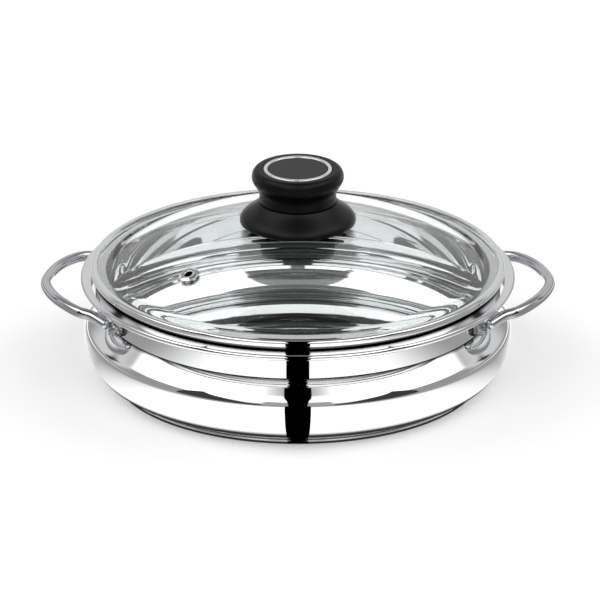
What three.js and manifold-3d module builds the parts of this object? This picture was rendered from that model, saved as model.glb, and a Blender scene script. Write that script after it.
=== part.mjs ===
// Uruli pot: a shallow bellied steel pot with two wire handles and a domed glass lid.
// Millimetres, +Z up. The origin is the middle of the base, on the table.

import * as THREE from 'three';
import { mergeVertices } from 'three/addons/utils/BufferGeometryUtils.js';
import ManifoldModule from 'manifold-3d';

// Fits between pieces
const SEAT_GAP = 0.3; // between two pieces that rest on each other
const MOUTH_CLEARANCE = 0.9; // round the lid skirt, inside the mouth
const BORE_CLEARANCE = 0.4; // round a shank in its hole

// Pot body, widths
const MOUTH_RADIUS = 102.7; // inside the neck
const WALL = 0.9; // sheet of the body
const RIM_WIDTH = 11.8; // from the outside of the neck to the edge of the rim
const RIM_BEAD = 3.2; // diameter of the rolled edge
const BELLY_BULGE = 10.0; // belly beyond the outside of the neck
const BELLY_CORNER = 15.8; // from the widest belly in to the flat floor

// Pot body, heights stacked from the underside of the floor
const BELLY_RISE = 22.2; // underside of the floor to the widest belly
const SHOULDER_RISE = 12.7; // widest belly to the foot of the neck
const NECK_HEIGHT = 17.9; // foot of the neck to the top of the rim

// Pot body, bends of the sheet
const CREASE_RADIUS = 7.0; // outside, where belly turns into shoulder
const FOOT_BEND = 0.5; // outside, at the foot of the neck
const RIM_BEND = 1.1; // outside, where the neck turns into the rim

// Base
const BASE_HEIGHT = 4.1; // steel cap, table to its upper edge
const BASE_SHEET = 0.7; // sheet of the steel cap
const BASE_STEP_HEIGHT = 2.6; // table to the step in the side of the cap
const BASE_STEP = 0.6; // depth of that step
const BASE_EDGE = 1.0; // rounding of the lower edge

// Handles
const ROD_DIAMETER = 6.0;
const GRIP_REACH = 18.3; // from the edge of the rim to the middle of the wire at the grip
const GRIP_DROP = 5.0; // from the top of the rim down to the middle of the wire at the grip
const NOSE_INSET = 3.0; // end of the grip, back from its middle
const NOSE_SPREAD = 15.2; // end of the grip, off the middle of the handle
const ELBOW_INSET = 9.5; // bend after the grip, back from the grip
const ELBOW_SPREAD = 29.0; // bend after the grip, off the middle of the handle
const ARM_INSET = 18.3; // arm, back from the grip
const ARM_SPREAD = 39.5; // arm, off the middle of the handle
const PASS_INSET = 24.2; // where the wire goes under the rim, back from the grip
const PASS_SPREAD = 42.0; // the same place, off the middle of the handle
const PASS_GAP = 0.4; // wire under the rolled edge
const TIP_LEAD = 0.5; // degrees from the middle of the pad back to the end of the wire
const TIP_STANDOFF = 4.7; // foot of the weld to the middle of the wire tip
const TIP_RISE = 0.8; // middle of the pad up to the middle of the wire tip

// Pads and welds
const PAD_BEARING = 25.5; // degrees from the middle of the handle
const PAD_DIAMETER = 10.2;
const PAD_THICKNESS = 1.2;
const PAD_RISE = 5.9; // foot of the neck to the middle of the pad
const WELD_INSET = 0.4; // edge of the pad in to the edge of the weld that stands on it
const WELD_HEIGHT = 5.2;

// Lid glass and band
const LID_OVERLAP = 6.4; // edge of the lid beyond the outside of the neck
const GLASS = 3.5; // thickness
const GLASS_INSET = 2.0; // edge of the band in to the edge of the glass
const BRIM_WIDTH = 9.5; // edge of the band in to the foot of the dome
const DOME_RISE = 27.8; // brim to the top of the dome
const KNOB_HOLE_RADIUS = 4.5; // middle hole of the glass
const BAND_SHEET = 0.9;
const BAND_LIP = 3.5; // how far the upper lip reaches in over the glass
const BAND_SKIRT_DEPTH = 4.0; // skirt below the top of the rim
const BAND_WAIST = 2.7; // height of the tucked-in lower edge
const BAND_TUCK = 2.3; // how far that edge is tucked in
const BAND_CROWN = 1.6; // rounding of the upper edge

// Vent
const VENT_RADIUS = 73.6; // from the axis of the lid
const VENT_BEARING = 219.3; // degrees, counter-clockwise from +X
const VENT_HOLE_RADIUS = 2.2;
const VENT_BARREL_WALL = 1.0;
const VENT_FLANGE_WIDTH = 2.4; // flange beyond the barrel
const VENT_FLANGE_HEIGHT = 1.3;
const VENT_COLLAR_WIDTH = 2.0;
const VENT_COLLAR_HEIGHT = 1.0;

// Knob, outside
const SKIRT_RADIUS = 30.8; // edge of the bell
const SKIRT_HEIGHT = 11.2; // edge of the bell to its top
const SKIRT_WALL = 2.0;
const SKIRT_SHELF = 20.8; // radius of the flat top of the bell
const SKIRT_EDGE = 0.9; // height of the edge of the bell
const SKIRT_BROW = 3.5; // rounding above that edge
const FLANK_REACH = 3.2; // first run of the bell's hollow flank, outwards
const FLANK_DROP = 4.2; // first run of the flank, downwards
const SKIRT_LIFT = 0.6; // edge of the bell above the glass
const NECK_RADIUS = 20.4; // narrowest part of the grip
const NECK_RISE = 4.0; // height of that part
const CAP_FLARE = 4.1; // cap beyond the narrowest part
const CAP_RISE = 9.6; // narrowest part up to the widest cap
const CAP_CROWN = 4.4; // widest cap up to the top
const CAP_MARGIN = 2.4; // flat of the cap round the bright ring
const RING_RADIUS = 18.3; // outside of the bright ring
const RING_WIDTH = 2.4;
const RING_HEIGHT = 1.6;
const DISC_HEIGHT = 1.3;

// Knob, fastening
const SCREW_RADIUS = 2.1;
const SCREW_HEAD_RADIUS = 4.4;
const SCREW_HEAD_HEIGHT = 2.6;
const SCREW_ENGAGEMENT = 9.5; // screw inside the insert
const INSERT_WALL = 2.4;
const INSERT_LENGTH = 11.0;
const GASKET_RADIUS = 10.5;
const GASKET_HEIGHT = 1.1;
const WASHER_RADIUS = 11.5;
const WASHER_HEIGHT = 1.0;
const BOSS_RADIUS = 11.5; // boss inside the bell that presses on the gasket

// Facets
const ROUND = 48; // pot and lid
const KNOB_ROUND = 24;
const SMALL_ROUND = 14;
const ROD_SIDES = 8;
const ROD_STEPS = 36;

// Radii and heights that follow from the sizes above
const neckRadius = MOUTH_RADIUS + WALL;
const rimRadius = neckRadius + RIM_WIDTH;
const bellyRadius = neckRadius + BELLY_BULGE;
const floorRadius = bellyRadius - BELLY_CORNER;
const floorUnder = BASE_HEIGHT + SEAT_GAP;
const bellyZ = floorUnder + BELLY_RISE;
const neckFootZ = bellyZ + SHOULDER_RISE;
const rimTop = neckFootZ + NECK_HEIGHT;
const lidSeat = rimTop + SEAT_GAP;
const lidRadius = neckRadius + LID_OVERLAP;
const brimUnder = lidSeat + BAND_SHEET + SEAT_GAP;
const brimTop = brimUnder + GLASS;
const domeFoot = lidRadius - BRIM_WIDTH;
const domeSphere = (domeFoot ** 2 + DOME_RISE ** 2) / (2 * DOME_RISE);
const domeTop = brimTop + DOME_RISE;
const domeCentre = domeTop - domeSphere;

const wasm = await ManifoldModule();
wasm.setup();

const uruli = new THREE.Group();
uruli.name = 'uruli_pot';

const p = (r, z) => new THREE.Vector2(r, z);

const FINISH = {
  steel: { color: 0xd6d7d9, roughness: 0.08, metalness: 1.0 },
  wire: { color: 0xd2d3d5, roughness: 0.12, metalness: 1.0 },
  weld: { color: 0x8d8d8e, roughness: 0.6, metalness: 0.9 },
  capsule: { color: 0xcfd0d1, roughness: 0.2, metalness: 1.0 },
  aluminium: { color: 0xb9bbbd, roughness: 0.4, metalness: 1.0 },
  glass: { color: 0xf2f6f5, roughness: 0.02, metalness: 0.0, transparent: true, opacity: 0.3 },
  bakelite: { color: 0x1b1b1c, roughness: 0.38, metalness: 0.0 },
  plate: { color: 0x3b3b3c, roughness: 0.45, metalness: 0.2 },
  brass: { color: 0xb5954e, roughness: 0.3, metalness: 1.0 },
  silicone: { color: 0xd9dadb, roughness: 0.7, metalness: 0.0 },
};

/** Adds one named piece, with a material of its own, to the pot. */
function addPiece(name, geometry, finish) {
  const mesh = new THREE.Mesh(geometry, new THREE.MeshStandardMaterial(FINISH[finish]));
  mesh.name = name;
  uruli.add(mesh);
  return mesh;
}

/** Points on an arc in the radius-height plane; angles in degrees, 0 pointing outwards, 90 up. */
function arc(r, z, radiusR, radiusZ, from, to, steps) {
  return Array.from({ length: steps + 1 }, (_, i) => {
    const angle = THREE.MathUtils.degToRad(from + ((to - from) * i) / steps);
    return p(r + radiusR * Math.cos(angle), z + radiusZ * Math.sin(angle));
  });
}

/** Turns a profile about the Z axis; the outside is drawn going up. */
function turned(profile, facets) {
  return new THREE.LatheGeometry(profile, facets).rotateX(Math.PI / 2);
}

/** Turns a profile that does not reach the axis, closing it on its first point. */
function turnedRing(profile, facets) {
  return turned([...profile, profile[0].clone()], facets);
}

/** A plain ring with square edges. */
function squareRing(inner, outer, bottom, top, facets) {
  return turnedRing([p(inner, bottom), p(outer, bottom), p(outer, top), p(inner, top)], facets);
}

/** A plain disc with square edges. */
function squareDisc(radius, bottom, top, facets) {
  return turned([p(0, bottom), p(radius, bottom), p(radius, top), p(0, top)], facets);
}

/** Height of a sphere about the dome's centre, over a point at this radius. */
function domeHeight(sphere, radius) {
  return domeCentre + Math.sqrt(sphere ** 2 - radius ** 2);
}

/** Solid of a geometry, for cutting. */
function solidOf(geometry) {
  const bare = new THREE.BufferGeometry();
  bare.setAttribute('position', geometry.getAttribute('position').clone());
  if (geometry.index) bare.setIndex(geometry.index.clone());
  const welded = mergeVertices(bare, 1e-3);
  const mesh = new wasm.Mesh({
    numProp: 3,
    vertProperties: new Float32Array(welded.getAttribute('position').array),
    triVerts: new Uint32Array(welded.index.array),
  });
  mesh.merge();
  return new wasm.Manifold(mesh);
}

/** What is left of one geometry after another is cut from it. */
function cut(body, tool) {
  const mesh = solidOf(body).subtract(solidOf(tool)).getMesh();
  const geometry = new THREE.BufferGeometry();
  geometry.setAttribute('position', new THREE.BufferAttribute(new Float32Array(mesh.vertProperties), 3));
  geometry.setIndex(new THREE.BufferAttribute(new Uint32Array(mesh.triVerts), 1));
  geometry.computeVertexNormals();
  return geometry;
}

/** One face of the body's sheet, from the axis out to the rim: the outside at inset 0. */
function sheetFace(inset) {
  const crease = p(bellyRadius - CREASE_RADIUS, bellyZ);
  const foot = p(neckRadius + FOOT_BEND, neckFootZ + FOOT_BEND);
  const span = foot.clone().sub(crease);
  const lean = Math.acos((CREASE_RADIUS + FOOT_BEND) / span.length());
  const slope = THREE.MathUtils.radToDeg(span.angle() - lean);
  const creaseBend = CREASE_RADIUS - inset;
  const footBend = FOOT_BEND + inset;
  const rimBend = RIM_BEND + inset;
  return [
    p(0, floorUnder + inset),
    ...arc(floorRadius, bellyZ, BELLY_CORNER - inset, BELLY_RISE - inset, -90, 0, 7),
    ...arc(crease.x, crease.y, creaseBend, creaseBend, 0, slope, 3).slice(1),
    ...arc(foot.x, foot.y, footBend, footBend, slope + 180, 180, 2),
    ...arc(neckRadius + RIM_BEND, rimTop - WALL - RIM_BEND, rimBend, rimBend, 180, 90, 3),
  ];
}

/** The rolled edge of the rim, from the underside of the rim round to its top. */
function rimBead() {
  const bead = RIM_BEAD / 2;
  const start = 180 - THREE.MathUtils.radToDeg(Math.asin((bead - WALL) / bead));
  return arc(rimRadius - bead, rimTop - bead, bead, bead, start, 450, 8);
}

function buildPot() {
  const sheet = [...sheetFace(0), ...rimBead(), ...sheetFace(WALL).reverse()];
  addPiece('pot_body', turned(sheet, ROUND), 'steel');

  const capInside = floorRadius - BASE_STEP - BASE_SHEET;
  const cap = [
    p(0, 0),
    ...arc(floorRadius - BASE_EDGE, BASE_EDGE, BASE_EDGE, BASE_EDGE, -90, 0, 3),
    p(floorRadius, BASE_STEP_HEIGHT),
    p(floorRadius - BASE_STEP, BASE_STEP_HEIGHT),
    p(floorRadius - BASE_STEP, BASE_HEIGHT),
    p(capInside, BASE_HEIGHT),
    p(capInside, BASE_SHEET),
    p(0, BASE_SHEET),
  ];
  addPiece('base_cap', turned(cap, ROUND), 'capsule');
  const core = squareDisc(capInside - SEAT_GAP, BASE_SHEET + SEAT_GAP, BASE_HEIGHT, ROUND);
  addPiece('base_core', core, 'aluminium');
}

// Handles, with their pads and welds
const padZ = neckFootZ + PAD_RISE;
const padFoot = neckRadius + SEAT_GAP;
const weldFoot = padFoot + PAD_THICKNESS + SEAT_GAP;
const weldRadius = PAD_DIAMETER / 2 - WELD_INSET;

/** Point near the neck: out from the axis at a bearing in degrees, and up. */
function nearNeck(bearing, out, z) {
  const angle = THREE.MathUtils.degToRad(bearing);
  return new THREE.Vector3(out * Math.cos(angle), out * Math.sin(angle), z);
}

/** Half of a wire, grip to tip, for a handle that points to +X; side is +1 or -1 along Y. */
function halfWire(side) {
  const gripX = rimRadius + GRIP_REACH;
  const gripZ = rimTop - GRIP_DROP;
  const passZ = rimTop - RIM_BEAD - PASS_GAP - ROD_DIAMETER / 2;
  return [
    new THREE.Vector3(gripX - NOSE_INSET, NOSE_SPREAD * side, gripZ),
    new THREE.Vector3(gripX - ELBOW_INSET, ELBOW_SPREAD * side, gripZ),
    new THREE.Vector3(gripX - ARM_INSET, ARM_SPREAD * side, (gripZ + passZ) / 2),
    new THREE.Vector3(gripX - PASS_INSET, PASS_SPREAD * side, passZ),
    nearNeck((PAD_BEARING - TIP_LEAD) * side, weldFoot + TIP_STANDOFF, padZ + TIP_RISE),
  ];
}

/** Stands a piece turned about Z on the neck, pointing outwards. */
function standOnNeck(geometry, bearing, out, z) {
  const place = nearNeck(bearing, out, z);
  const upright = geometry.rotateY(Math.PI / 2).rotateZ(THREE.MathUtils.degToRad(bearing));
  return upright.translate(place.x, place.y, place.z);
}

function buildHandle(sideName, turn) {
  const grip = new THREE.Vector3(rimRadius + GRIP_REACH, 0, rimTop - GRIP_DROP);
  const path = new THREE.CatmullRomCurve3([...halfWire(-1).reverse(), grip, ...halfWire(1)]);
  const section = new THREE.Shape(
    Array.from({ length: ROD_SIDES }, (_, i) => {
      const angle = (2 * Math.PI * i) / ROD_SIDES;
      return p((ROD_DIAMETER / 2) * Math.cos(angle), (ROD_DIAMETER / 2) * Math.sin(angle));
    }),
  );
  const wire = new THREE.ExtrudeGeometry(section, { steps: ROD_STEPS, extrudePath: path });
  addPiece(`${sideName}_handle`, wire.rotateZ(turn), 'wire');

  for (const side of [-1, 1]) {
    const end = side * Math.cos(turn) < 0 ? 'front' : 'rear';
    const disc = squareDisc(PAD_DIAMETER / 2, 0, PAD_THICKNESS, SMALL_ROUND);
    const pad = standOnNeck(disc, PAD_BEARING * side, padFoot, padZ);
    addPiece(`${sideName}_${end}_pad`, pad.rotateZ(turn), 'wire');

    const dome = [p(0, 0), ...arc(0, 0, weldRadius, WELD_HEIGHT, 0, 90, 4)];
    const lump = standOnNeck(turned(dome, SMALL_ROUND), PAD_BEARING * side, weldFoot, padZ);
    const outward = path.getTangent(side < 0 ? 0 : 1).multiplyScalar(-side);
    const tip = path.getPoint(side < 0 ? 0 : 1);
    const bore = squareDisc(ROD_DIAMETER / 2 + BORE_CLEARANCE, -SEAT_GAP, PAD_DIAMETER * 2, SMALL_ROUND);
    bore.applyQuaternion(new THREE.Quaternion().setFromUnitVectors(new THREE.Vector3(0, 0, 1), outward));
    bore.translate(tip.x, tip.y, tip.z);
    addPiece(`${sideName}_${end}_weld`, cut(lump, bore).rotateZ(turn), 'weld');
  }
}

// Lid: glass, band and vent
const glassInside = domeSphere - GLASS;
const vent = (() => {
  const bearing = THREE.MathUtils.degToRad(VENT_BEARING);
  const z = domeHeight(domeSphere, VENT_RADIUS);
  const place = new THREE.Vector3(VENT_RADIUS * Math.cos(bearing), VENT_RADIUS * Math.sin(bearing), z);
  const normal = place.clone().setZ(z - domeCentre).normalize();
  const turn = new THREE.Quaternion().setFromUnitVectors(new THREE.Vector3(0, 0, 1), normal);
  return { place, turn, barrel: VENT_HOLE_RADIUS + VENT_BARREL_WALL };
})();

/** Sets a piece turned about Z into the vent hole, its zero on the upper face of the glass. */
function setInVent(geometry) {
  return geometry.applyQuaternion(vent.turn).translate(vent.place.x, vent.place.y, vent.place.z);
}

function buildGlass() {
  const steps = 7;
  const footInside = Math.sqrt(glassInside ** 2 - (brimUnder - domeCentre) ** 2);
  const face = (sphere, foot) =>
    Array.from({ length: steps + 1 }, (_, i) => {
      const r = KNOB_HOLE_RADIUS + ((foot - KNOB_HOLE_RADIUS) * i) / steps;
      return p(r, domeHeight(sphere, r));
    });
  const edge = lidRadius - GLASS_INSET - GLASS / 2;
  const profile = [
    ...face(glassInside, footInside),
    ...arc(edge, brimUnder + GLASS / 2, GLASS / 2, GLASS / 2, -90, 90, 4),
    ...face(domeSphere, domeFoot).reverse(),
  ];
  const bore = squareDisc(vent.barrel + BORE_CLEARANCE, -3 * GLASS, 2 * GLASS, SMALL_ROUND);
  addPiece('lid_glass', cut(turnedRing(profile, ROUND), setInVent(bore)), 'glass');
}

function buildBand() {
  const top = brimTop + SEAT_GAP + BAND_SHEET;
  const skirt = MOUTH_RADIUS - MOUTH_CLEARANCE;
  const skirtFoot = rimTop - BAND_SKIRT_DEPTH;
  const tuck = Math.hypot(BAND_TUCK, BAND_WAIST);
  const innerTuckR = lidRadius - BAND_TUCK + (BAND_SHEET * (BAND_TUCK - tuck)) / BAND_WAIST;
  const innerTuckZ = lidSeat + (BAND_SHEET * tuck + (BAND_TUCK - BAND_SHEET) * BAND_WAIST) / BAND_TUCK;
  const inside = lidRadius - BAND_SHEET;
  const crown = BAND_CROWN - BAND_SHEET;
  const crownR = lidRadius - BAND_CROWN;
  const crownZ = top - BAND_CROWN;
  const profile = [
    p(skirt - BAND_SHEET, skirtFoot),
    p(skirt, skirtFoot),
    p(skirt, lidSeat),
    p(lidRadius - BAND_TUCK, lidSeat),
    p(lidRadius, lidSeat + BAND_WAIST),
    ...arc(crownR, crownZ, BAND_CROWN, BAND_CROWN, 0, 90, 3),
    p(lidRadius - BAND_LIP, top),
    p(lidRadius - BAND_LIP, top - BAND_SHEET),
    ...arc(crownR, crownZ, crown, crown, 90, 0, 2),
    p(inside, innerTuckZ),
    p(innerTuckR, lidSeat + BAND_SHEET),
    p(skirt - BAND_SHEET, lidSeat + BAND_SHEET),
  ];
  addPiece('lid_band', turnedRing(profile, ROUND), 'steel');
}

function buildVent() {
  const collarTop = -GLASS - SEAT_GAP;
  const collarFoot = collarTop - VENT_COLLAR_HEIGHT;
  const flange = vent.barrel + VENT_FLANGE_WIDTH;
  const flangeTop = SEAT_GAP + VENT_FLANGE_HEIGHT;
  const eyelet = [
    p(VENT_HOLE_RADIUS, collarFoot),
    p(vent.barrel, collarFoot),
    p(vent.barrel, SEAT_GAP),
    p(flange, SEAT_GAP),
    p(flange, SEAT_GAP + VENT_FLANGE_HEIGHT / 2),
    p(vent.barrel, flangeTop),
    p(VENT_HOLE_RADIUS, flangeTop - VENT_FLANGE_HEIGHT / 4),
  ];
  addPiece('vent_eyelet', setInVent(turnedRing(eyelet, SMALL_ROUND)), 'steel');
  const collarInside = vent.barrel + SEAT_GAP;
  const collarEdge = collarInside + VENT_COLLAR_WIDTH;
  const collar = squareRing(collarInside, collarEdge, collarFoot, collarTop, SMALL_ROUND);
  addPiece('vent_collar', setInVent(collar), 'steel');
}

// Knob and its fastening
const screwHole = SCREW_RADIUS + BORE_CLEARANCE;
const upperGasketZ = domeHeight(domeSphere, KNOB_HOLE_RADIUS) + SEAT_GAP;
const bellFoot = domeHeight(domeSphere, SKIRT_RADIUS) + SKIRT_LIFT;
const bellTop = bellFoot + SKIRT_HEIGHT;
const gripFoot = bellTop + SEAT_GAP;

function buildBell() {
  const bossFoot = upperGasketZ + GASKET_HEIGHT + SEAT_GAP;
  const edgeTop = bellFoot + SKIRT_EDGE;
  const flank = (inset) =>
    new THREE.CubicBezierCurve(
      p(SKIRT_SHELF - inset, bellTop - inset),
      p(SKIRT_SHELF + FLANK_REACH - inset, bellTop - FLANK_DROP - inset),
      p(SKIRT_RADIUS - inset, edgeTop + SKIRT_BROW - inset),
      p(SKIRT_RADIUS - inset, edgeTop),
    ).getPoints(6);
  const profile = [
    p(screwHole, bossFoot),
    p(BOSS_RADIUS, bossFoot),
    p(BOSS_RADIUS, bellTop - SKIRT_WALL),
    ...flank(SKIRT_WALL),
    p(SKIRT_RADIUS - SKIRT_WALL, bellFoot),
    p(SKIRT_RADIUS, bellFoot),
    ...flank(0).reverse(),
    p(screwHole, bellTop),
  ];
  addPiece('knob_skirt', turnedRing(profile, KNOB_ROUND), 'bakelite');
}

function buildGrip() {
  const insertRadius = screwHole + INSERT_WALL;
  const insertTop = gripFoot + INSERT_LENGTH;
  const neckTop = gripFoot + NECK_RISE;
  const capZ = neckTop + CAP_RISE;
  const crownRadius = RING_RADIUS + SEAT_GAP + CAP_MARGIN;
  const capRadius = NECK_RADIUS + CAP_FLARE;
  const gripTop = capZ + CAP_CROWN;
  const recess = gripTop - RING_HEIGHT;
  const steps = 5;
  const flare = Array.from({ length: steps }, (_, i) => {
    const share = i / steps;
    return p(NECK_RADIUS + (CAP_FLARE * (1 - Math.cos(Math.PI * share))) / 2, neckTop + CAP_RISE * share);
  });
  const profile = [
    p(0, insertTop + SEAT_GAP),
    p(insertRadius + SEAT_GAP, insertTop + SEAT_GAP),
    p(insertRadius + SEAT_GAP, gripFoot),
    p(NECK_RADIUS, gripFoot),
    ...flare,
    ...arc(crownRadius, capZ, capRadius - crownRadius, CAP_CROWN, 0, 90, 4),
    p(RING_RADIUS + SEAT_GAP, gripTop),
    p(RING_RADIUS + SEAT_GAP, recess),
    p(0, recess),
  ];
  addPiece('knob_grip', turned(profile, KNOB_ROUND), 'bakelite');

  const inlay = recess + SEAT_GAP;
  const ringInside = RING_RADIUS - RING_WIDTH;
  const ring = squareRing(ringInside, RING_RADIUS, inlay, inlay + RING_HEIGHT, KNOB_ROUND);
  addPiece('knob_ring', ring, 'steel');
  const disc = squareDisc(ringInside - SEAT_GAP, inlay, inlay + DISC_HEIGHT, KNOB_ROUND);
  addPiece('knob_disc', disc, 'plate');
  const insert = squareRing(screwHole, insertRadius, gripFoot, insertTop, SMALL_ROUND);
  addPiece('knob_insert', insert, 'brass');
}

function buildFastening() {
  const upper = squareRing(screwHole, GASKET_RADIUS, upperGasketZ, upperGasketZ + GASKET_HEIGHT, SMALL_ROUND);
  addPiece('upper_gasket', upper, 'silicone');
  const gasketTop = domeHeight(glassInside, GASKET_RADIUS) - SEAT_GAP;
  const gasketFoot = gasketTop - GASKET_HEIGHT;
  const lower = squareRing(screwHole, GASKET_RADIUS, gasketFoot, gasketTop, SMALL_ROUND);
  addPiece('lower_gasket', lower, 'silicone');
  const washerTop = gasketFoot - SEAT_GAP;
  const washerFoot = washerTop - WASHER_HEIGHT;
  const washer = squareRing(screwHole, WASHER_RADIUS, washerFoot, washerTop, SMALL_ROUND);
  addPiece('knob_washer', washer, 'steel');
  const headTop = washerFoot - SEAT_GAP;
  const headFoot = headTop - SCREW_HEAD_HEIGHT;
  const screw = [
    p(0, headFoot),
    p(SCREW_HEAD_RADIUS, headFoot),
    p(SCREW_HEAD_RADIUS, headTop),
    p(SCREW_RADIUS, headTop),
    p(SCREW_RADIUS, gripFoot + SCREW_ENGAGEMENT),
    p(0, gripFoot + SCREW_ENGAGEMENT),
  ];
  addPiece('knob_screw', turned(screw, SMALL_ROUND), 'steel');
}

buildPot();
buildHandle('right', 0);
buildHandle('left', Math.PI);
buildGlass();
buildBand();
buildVent();
buildBell();
buildGrip();
buildFastening();

export default uruli;
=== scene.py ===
"""Looks of a small uruli pot: mirror-buffed steel, wire handles and a domed glass lid with a black knob.

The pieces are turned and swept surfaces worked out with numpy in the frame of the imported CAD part. Lengths in
the classes are millimetres, angles are degrees. Meshes are in metres, +Z up, with the camera on the -Y side.
"""

import logging
import math
from dataclasses import dataclass
from enum import Enum
from typing import Any, Protocol, Sequence

import bpy
import numpy as np
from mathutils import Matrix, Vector


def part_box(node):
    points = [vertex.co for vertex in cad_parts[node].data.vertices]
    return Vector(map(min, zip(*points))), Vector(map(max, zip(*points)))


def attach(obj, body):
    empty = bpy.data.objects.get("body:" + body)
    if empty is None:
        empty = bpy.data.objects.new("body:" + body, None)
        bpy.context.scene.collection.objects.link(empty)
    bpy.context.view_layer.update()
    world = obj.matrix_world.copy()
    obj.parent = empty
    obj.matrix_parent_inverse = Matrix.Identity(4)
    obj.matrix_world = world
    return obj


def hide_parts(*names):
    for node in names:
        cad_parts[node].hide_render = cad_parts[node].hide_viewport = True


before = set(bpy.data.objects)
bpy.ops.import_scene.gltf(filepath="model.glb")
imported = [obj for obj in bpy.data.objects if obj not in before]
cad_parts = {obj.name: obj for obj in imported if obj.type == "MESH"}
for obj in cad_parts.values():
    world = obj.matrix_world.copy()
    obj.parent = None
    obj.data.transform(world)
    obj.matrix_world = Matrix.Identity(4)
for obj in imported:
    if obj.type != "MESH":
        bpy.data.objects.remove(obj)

LOG = logging.getLogger("uruli_pot")
Array = np.ndarray

MM = 0.001  # metres in a millimetre
SEAT = 0.3  # gap that the CAD solids keep between pieces that touch on the real pot
ARC_STEP = 5.0  # degrees between the points of a round stretch of an outline
LINE_STEP = 2.0  # millimetres between the points of a straight stretch
POLE = 1e-6  # a ring narrower than this is a single point
CREASE_ANGLE = 34.0  # edges sharper than this stay crisp
PAINTED_SHADE = "painted_shade"  # mesh attribute, 1 at points in crevices and bores that get painted shade
EDGE = 0.2  # radius of a corner that is almost sharp
MATH = "ShaderNodeMath"  # the kind of node that does a sum


class Body(Enum):
    """The two bodies of the part."""

    POT = "pot"
    LID = "lid"


class Slot(Enum):
    """The record's material slots."""

    POLISHED_STEEL = "polished_steel"
    WIRE_STEEL = "wire_steel"
    WELD_STEEL = "weld_steel"
    BASE_STEEL = "base_steel"
    BASE_ALUMINIUM = "base_aluminium"
    TEMPERED_GLASS = "tempered_glass"
    BAKELITE = "bakelite"
    DARK_PLATE = "dark_plate"
    BRASS = "brass"
    SILICONE = "silicone"


# Outlines and surfaces


def arc(r: float, z: float, radius_r: float, radius_z: float, start: float, end: float) -> Array:
    """Points on an ellipse about (r, z): r + radius_r cos(a), z + radius_z sin(a), for a from start to end.

    Args:
        r: radius of the centre.
        z: height of the centre.
        radius_r: half-axis along the radius.
        radius_z: half-axis along the height.
        start: first angle, 0 pointing outwards and 90 up.
        end: last angle.

    Returns:
        The points, one row each.
    """
    steps = max(2, math.ceil(abs(end - start) / ARC_STEP))
    angle = np.radians(np.linspace(start, end, steps + 1))
    return np.column_stack([r + radius_r * np.cos(angle), z + radius_z * np.sin(angle)])


def bezier(*controls: tuple[float, float]) -> Array:
    """Points of a cubic curve: (1-t)^3 a + 3(1-t)^2 t b + 3(1-t) t^2 c + t^3 d, for t from 0 to 1.

    Args:
        controls: the four (r, z) points a, b, c and d.

    Returns:
        The points, one row each.
    """
    t = np.linspace(0, 1, 25)[:, None]
    a, b, c, d = np.asarray(controls, float)
    return (1 - t) ** 3 * a + 3 * (1 - t) ** 2 * t * b + 3 * (1 - t) * t**2 * c + t**3 * d


def outline(*runs: Sequence) -> Array:
    """Joins points and arcs into one outline, with its straight stretches cut into short steps.

    Args:
        runs: arrays of points, or single (r, z) points.

    Returns:
        The outline's points, with no point twice in a row.
    """
    points = np.vstack([np.atleast_2d(np.asarray(run, float)) for run in runs])
    length = np.concatenate([[0.0], np.cumsum(np.linalg.norm(np.diff(points, axis=0), axis=1))])
    fresh = np.concatenate([[True], np.diff(length) > POLE])
    points, length = points[fresh], length[fresh]
    counts = np.maximum(1, np.ceil(np.diff(length) / LINE_STEP)).astype(int)
    first = np.repeat(np.arange(len(counts)), counts)
    share = (np.arange(counts.sum()) - np.repeat(np.cumsum(counts) - counts, counts)) / counts[first]
    at = np.append(length[first] + share * np.diff(length)[first], length[-1])
    return np.column_stack([np.interp(at, length, points[:, 0]), np.interp(at, length, points[:, 1])])


def rounded(*corners: tuple[float, ...], closed: bool = False) -> Array:
    """An outline through corners, each rounded by an arc that touches both of its sides.

    For a corner with radius f between unit directions u and v, the arc's centre lies along u + v at
    f / sin(half the angle), and it touches the sides f / tan(half the angle) from the corner.

    Args:
        corners: (r, z) or (r, z, radius) of each corner.
        closed: whether the outline returns to its first corner.

    Returns:
        The outline's points; a closed outline doesn't repeat its first point.
    """
    count = len(corners)
    runs = []
    for i, corner in enumerate(corners):
        here = np.array(corner[:2], float)
        radius = corner[2] if len(corner) > 2 else 0.0
        if radius <= 0 or (not closed and i in (0, count - 1)):
            runs.append(here)
            continue
        u = np.array(corners[i - 1][:2]) - here
        v = np.array(corners[(i + 1) % count][:2]) - here
        u, v = u / np.linalg.norm(u), v / np.linalg.norm(v)
        half = math.acos(np.clip(u @ v, -1, 1)) / 2
        middle = (u + v) / np.linalg.norm(u + v)
        centre = here + middle * radius / math.sin(half)
        touch = radius / math.tan(half)
        start, end = here + u * touch - centre, here + v * touch - centre
        first = math.degrees(math.atan2(start[1], start[0]))
        turn = math.degrees(math.atan2(np.cross(start, end), start @ end))
        runs.append(arc(*centre, radius, radius, first, first + turn))
    if closed:
        runs.append(np.atleast_2d(runs[0])[0])
        return outline(*runs)[:-1]
    return outline(*runs)


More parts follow.
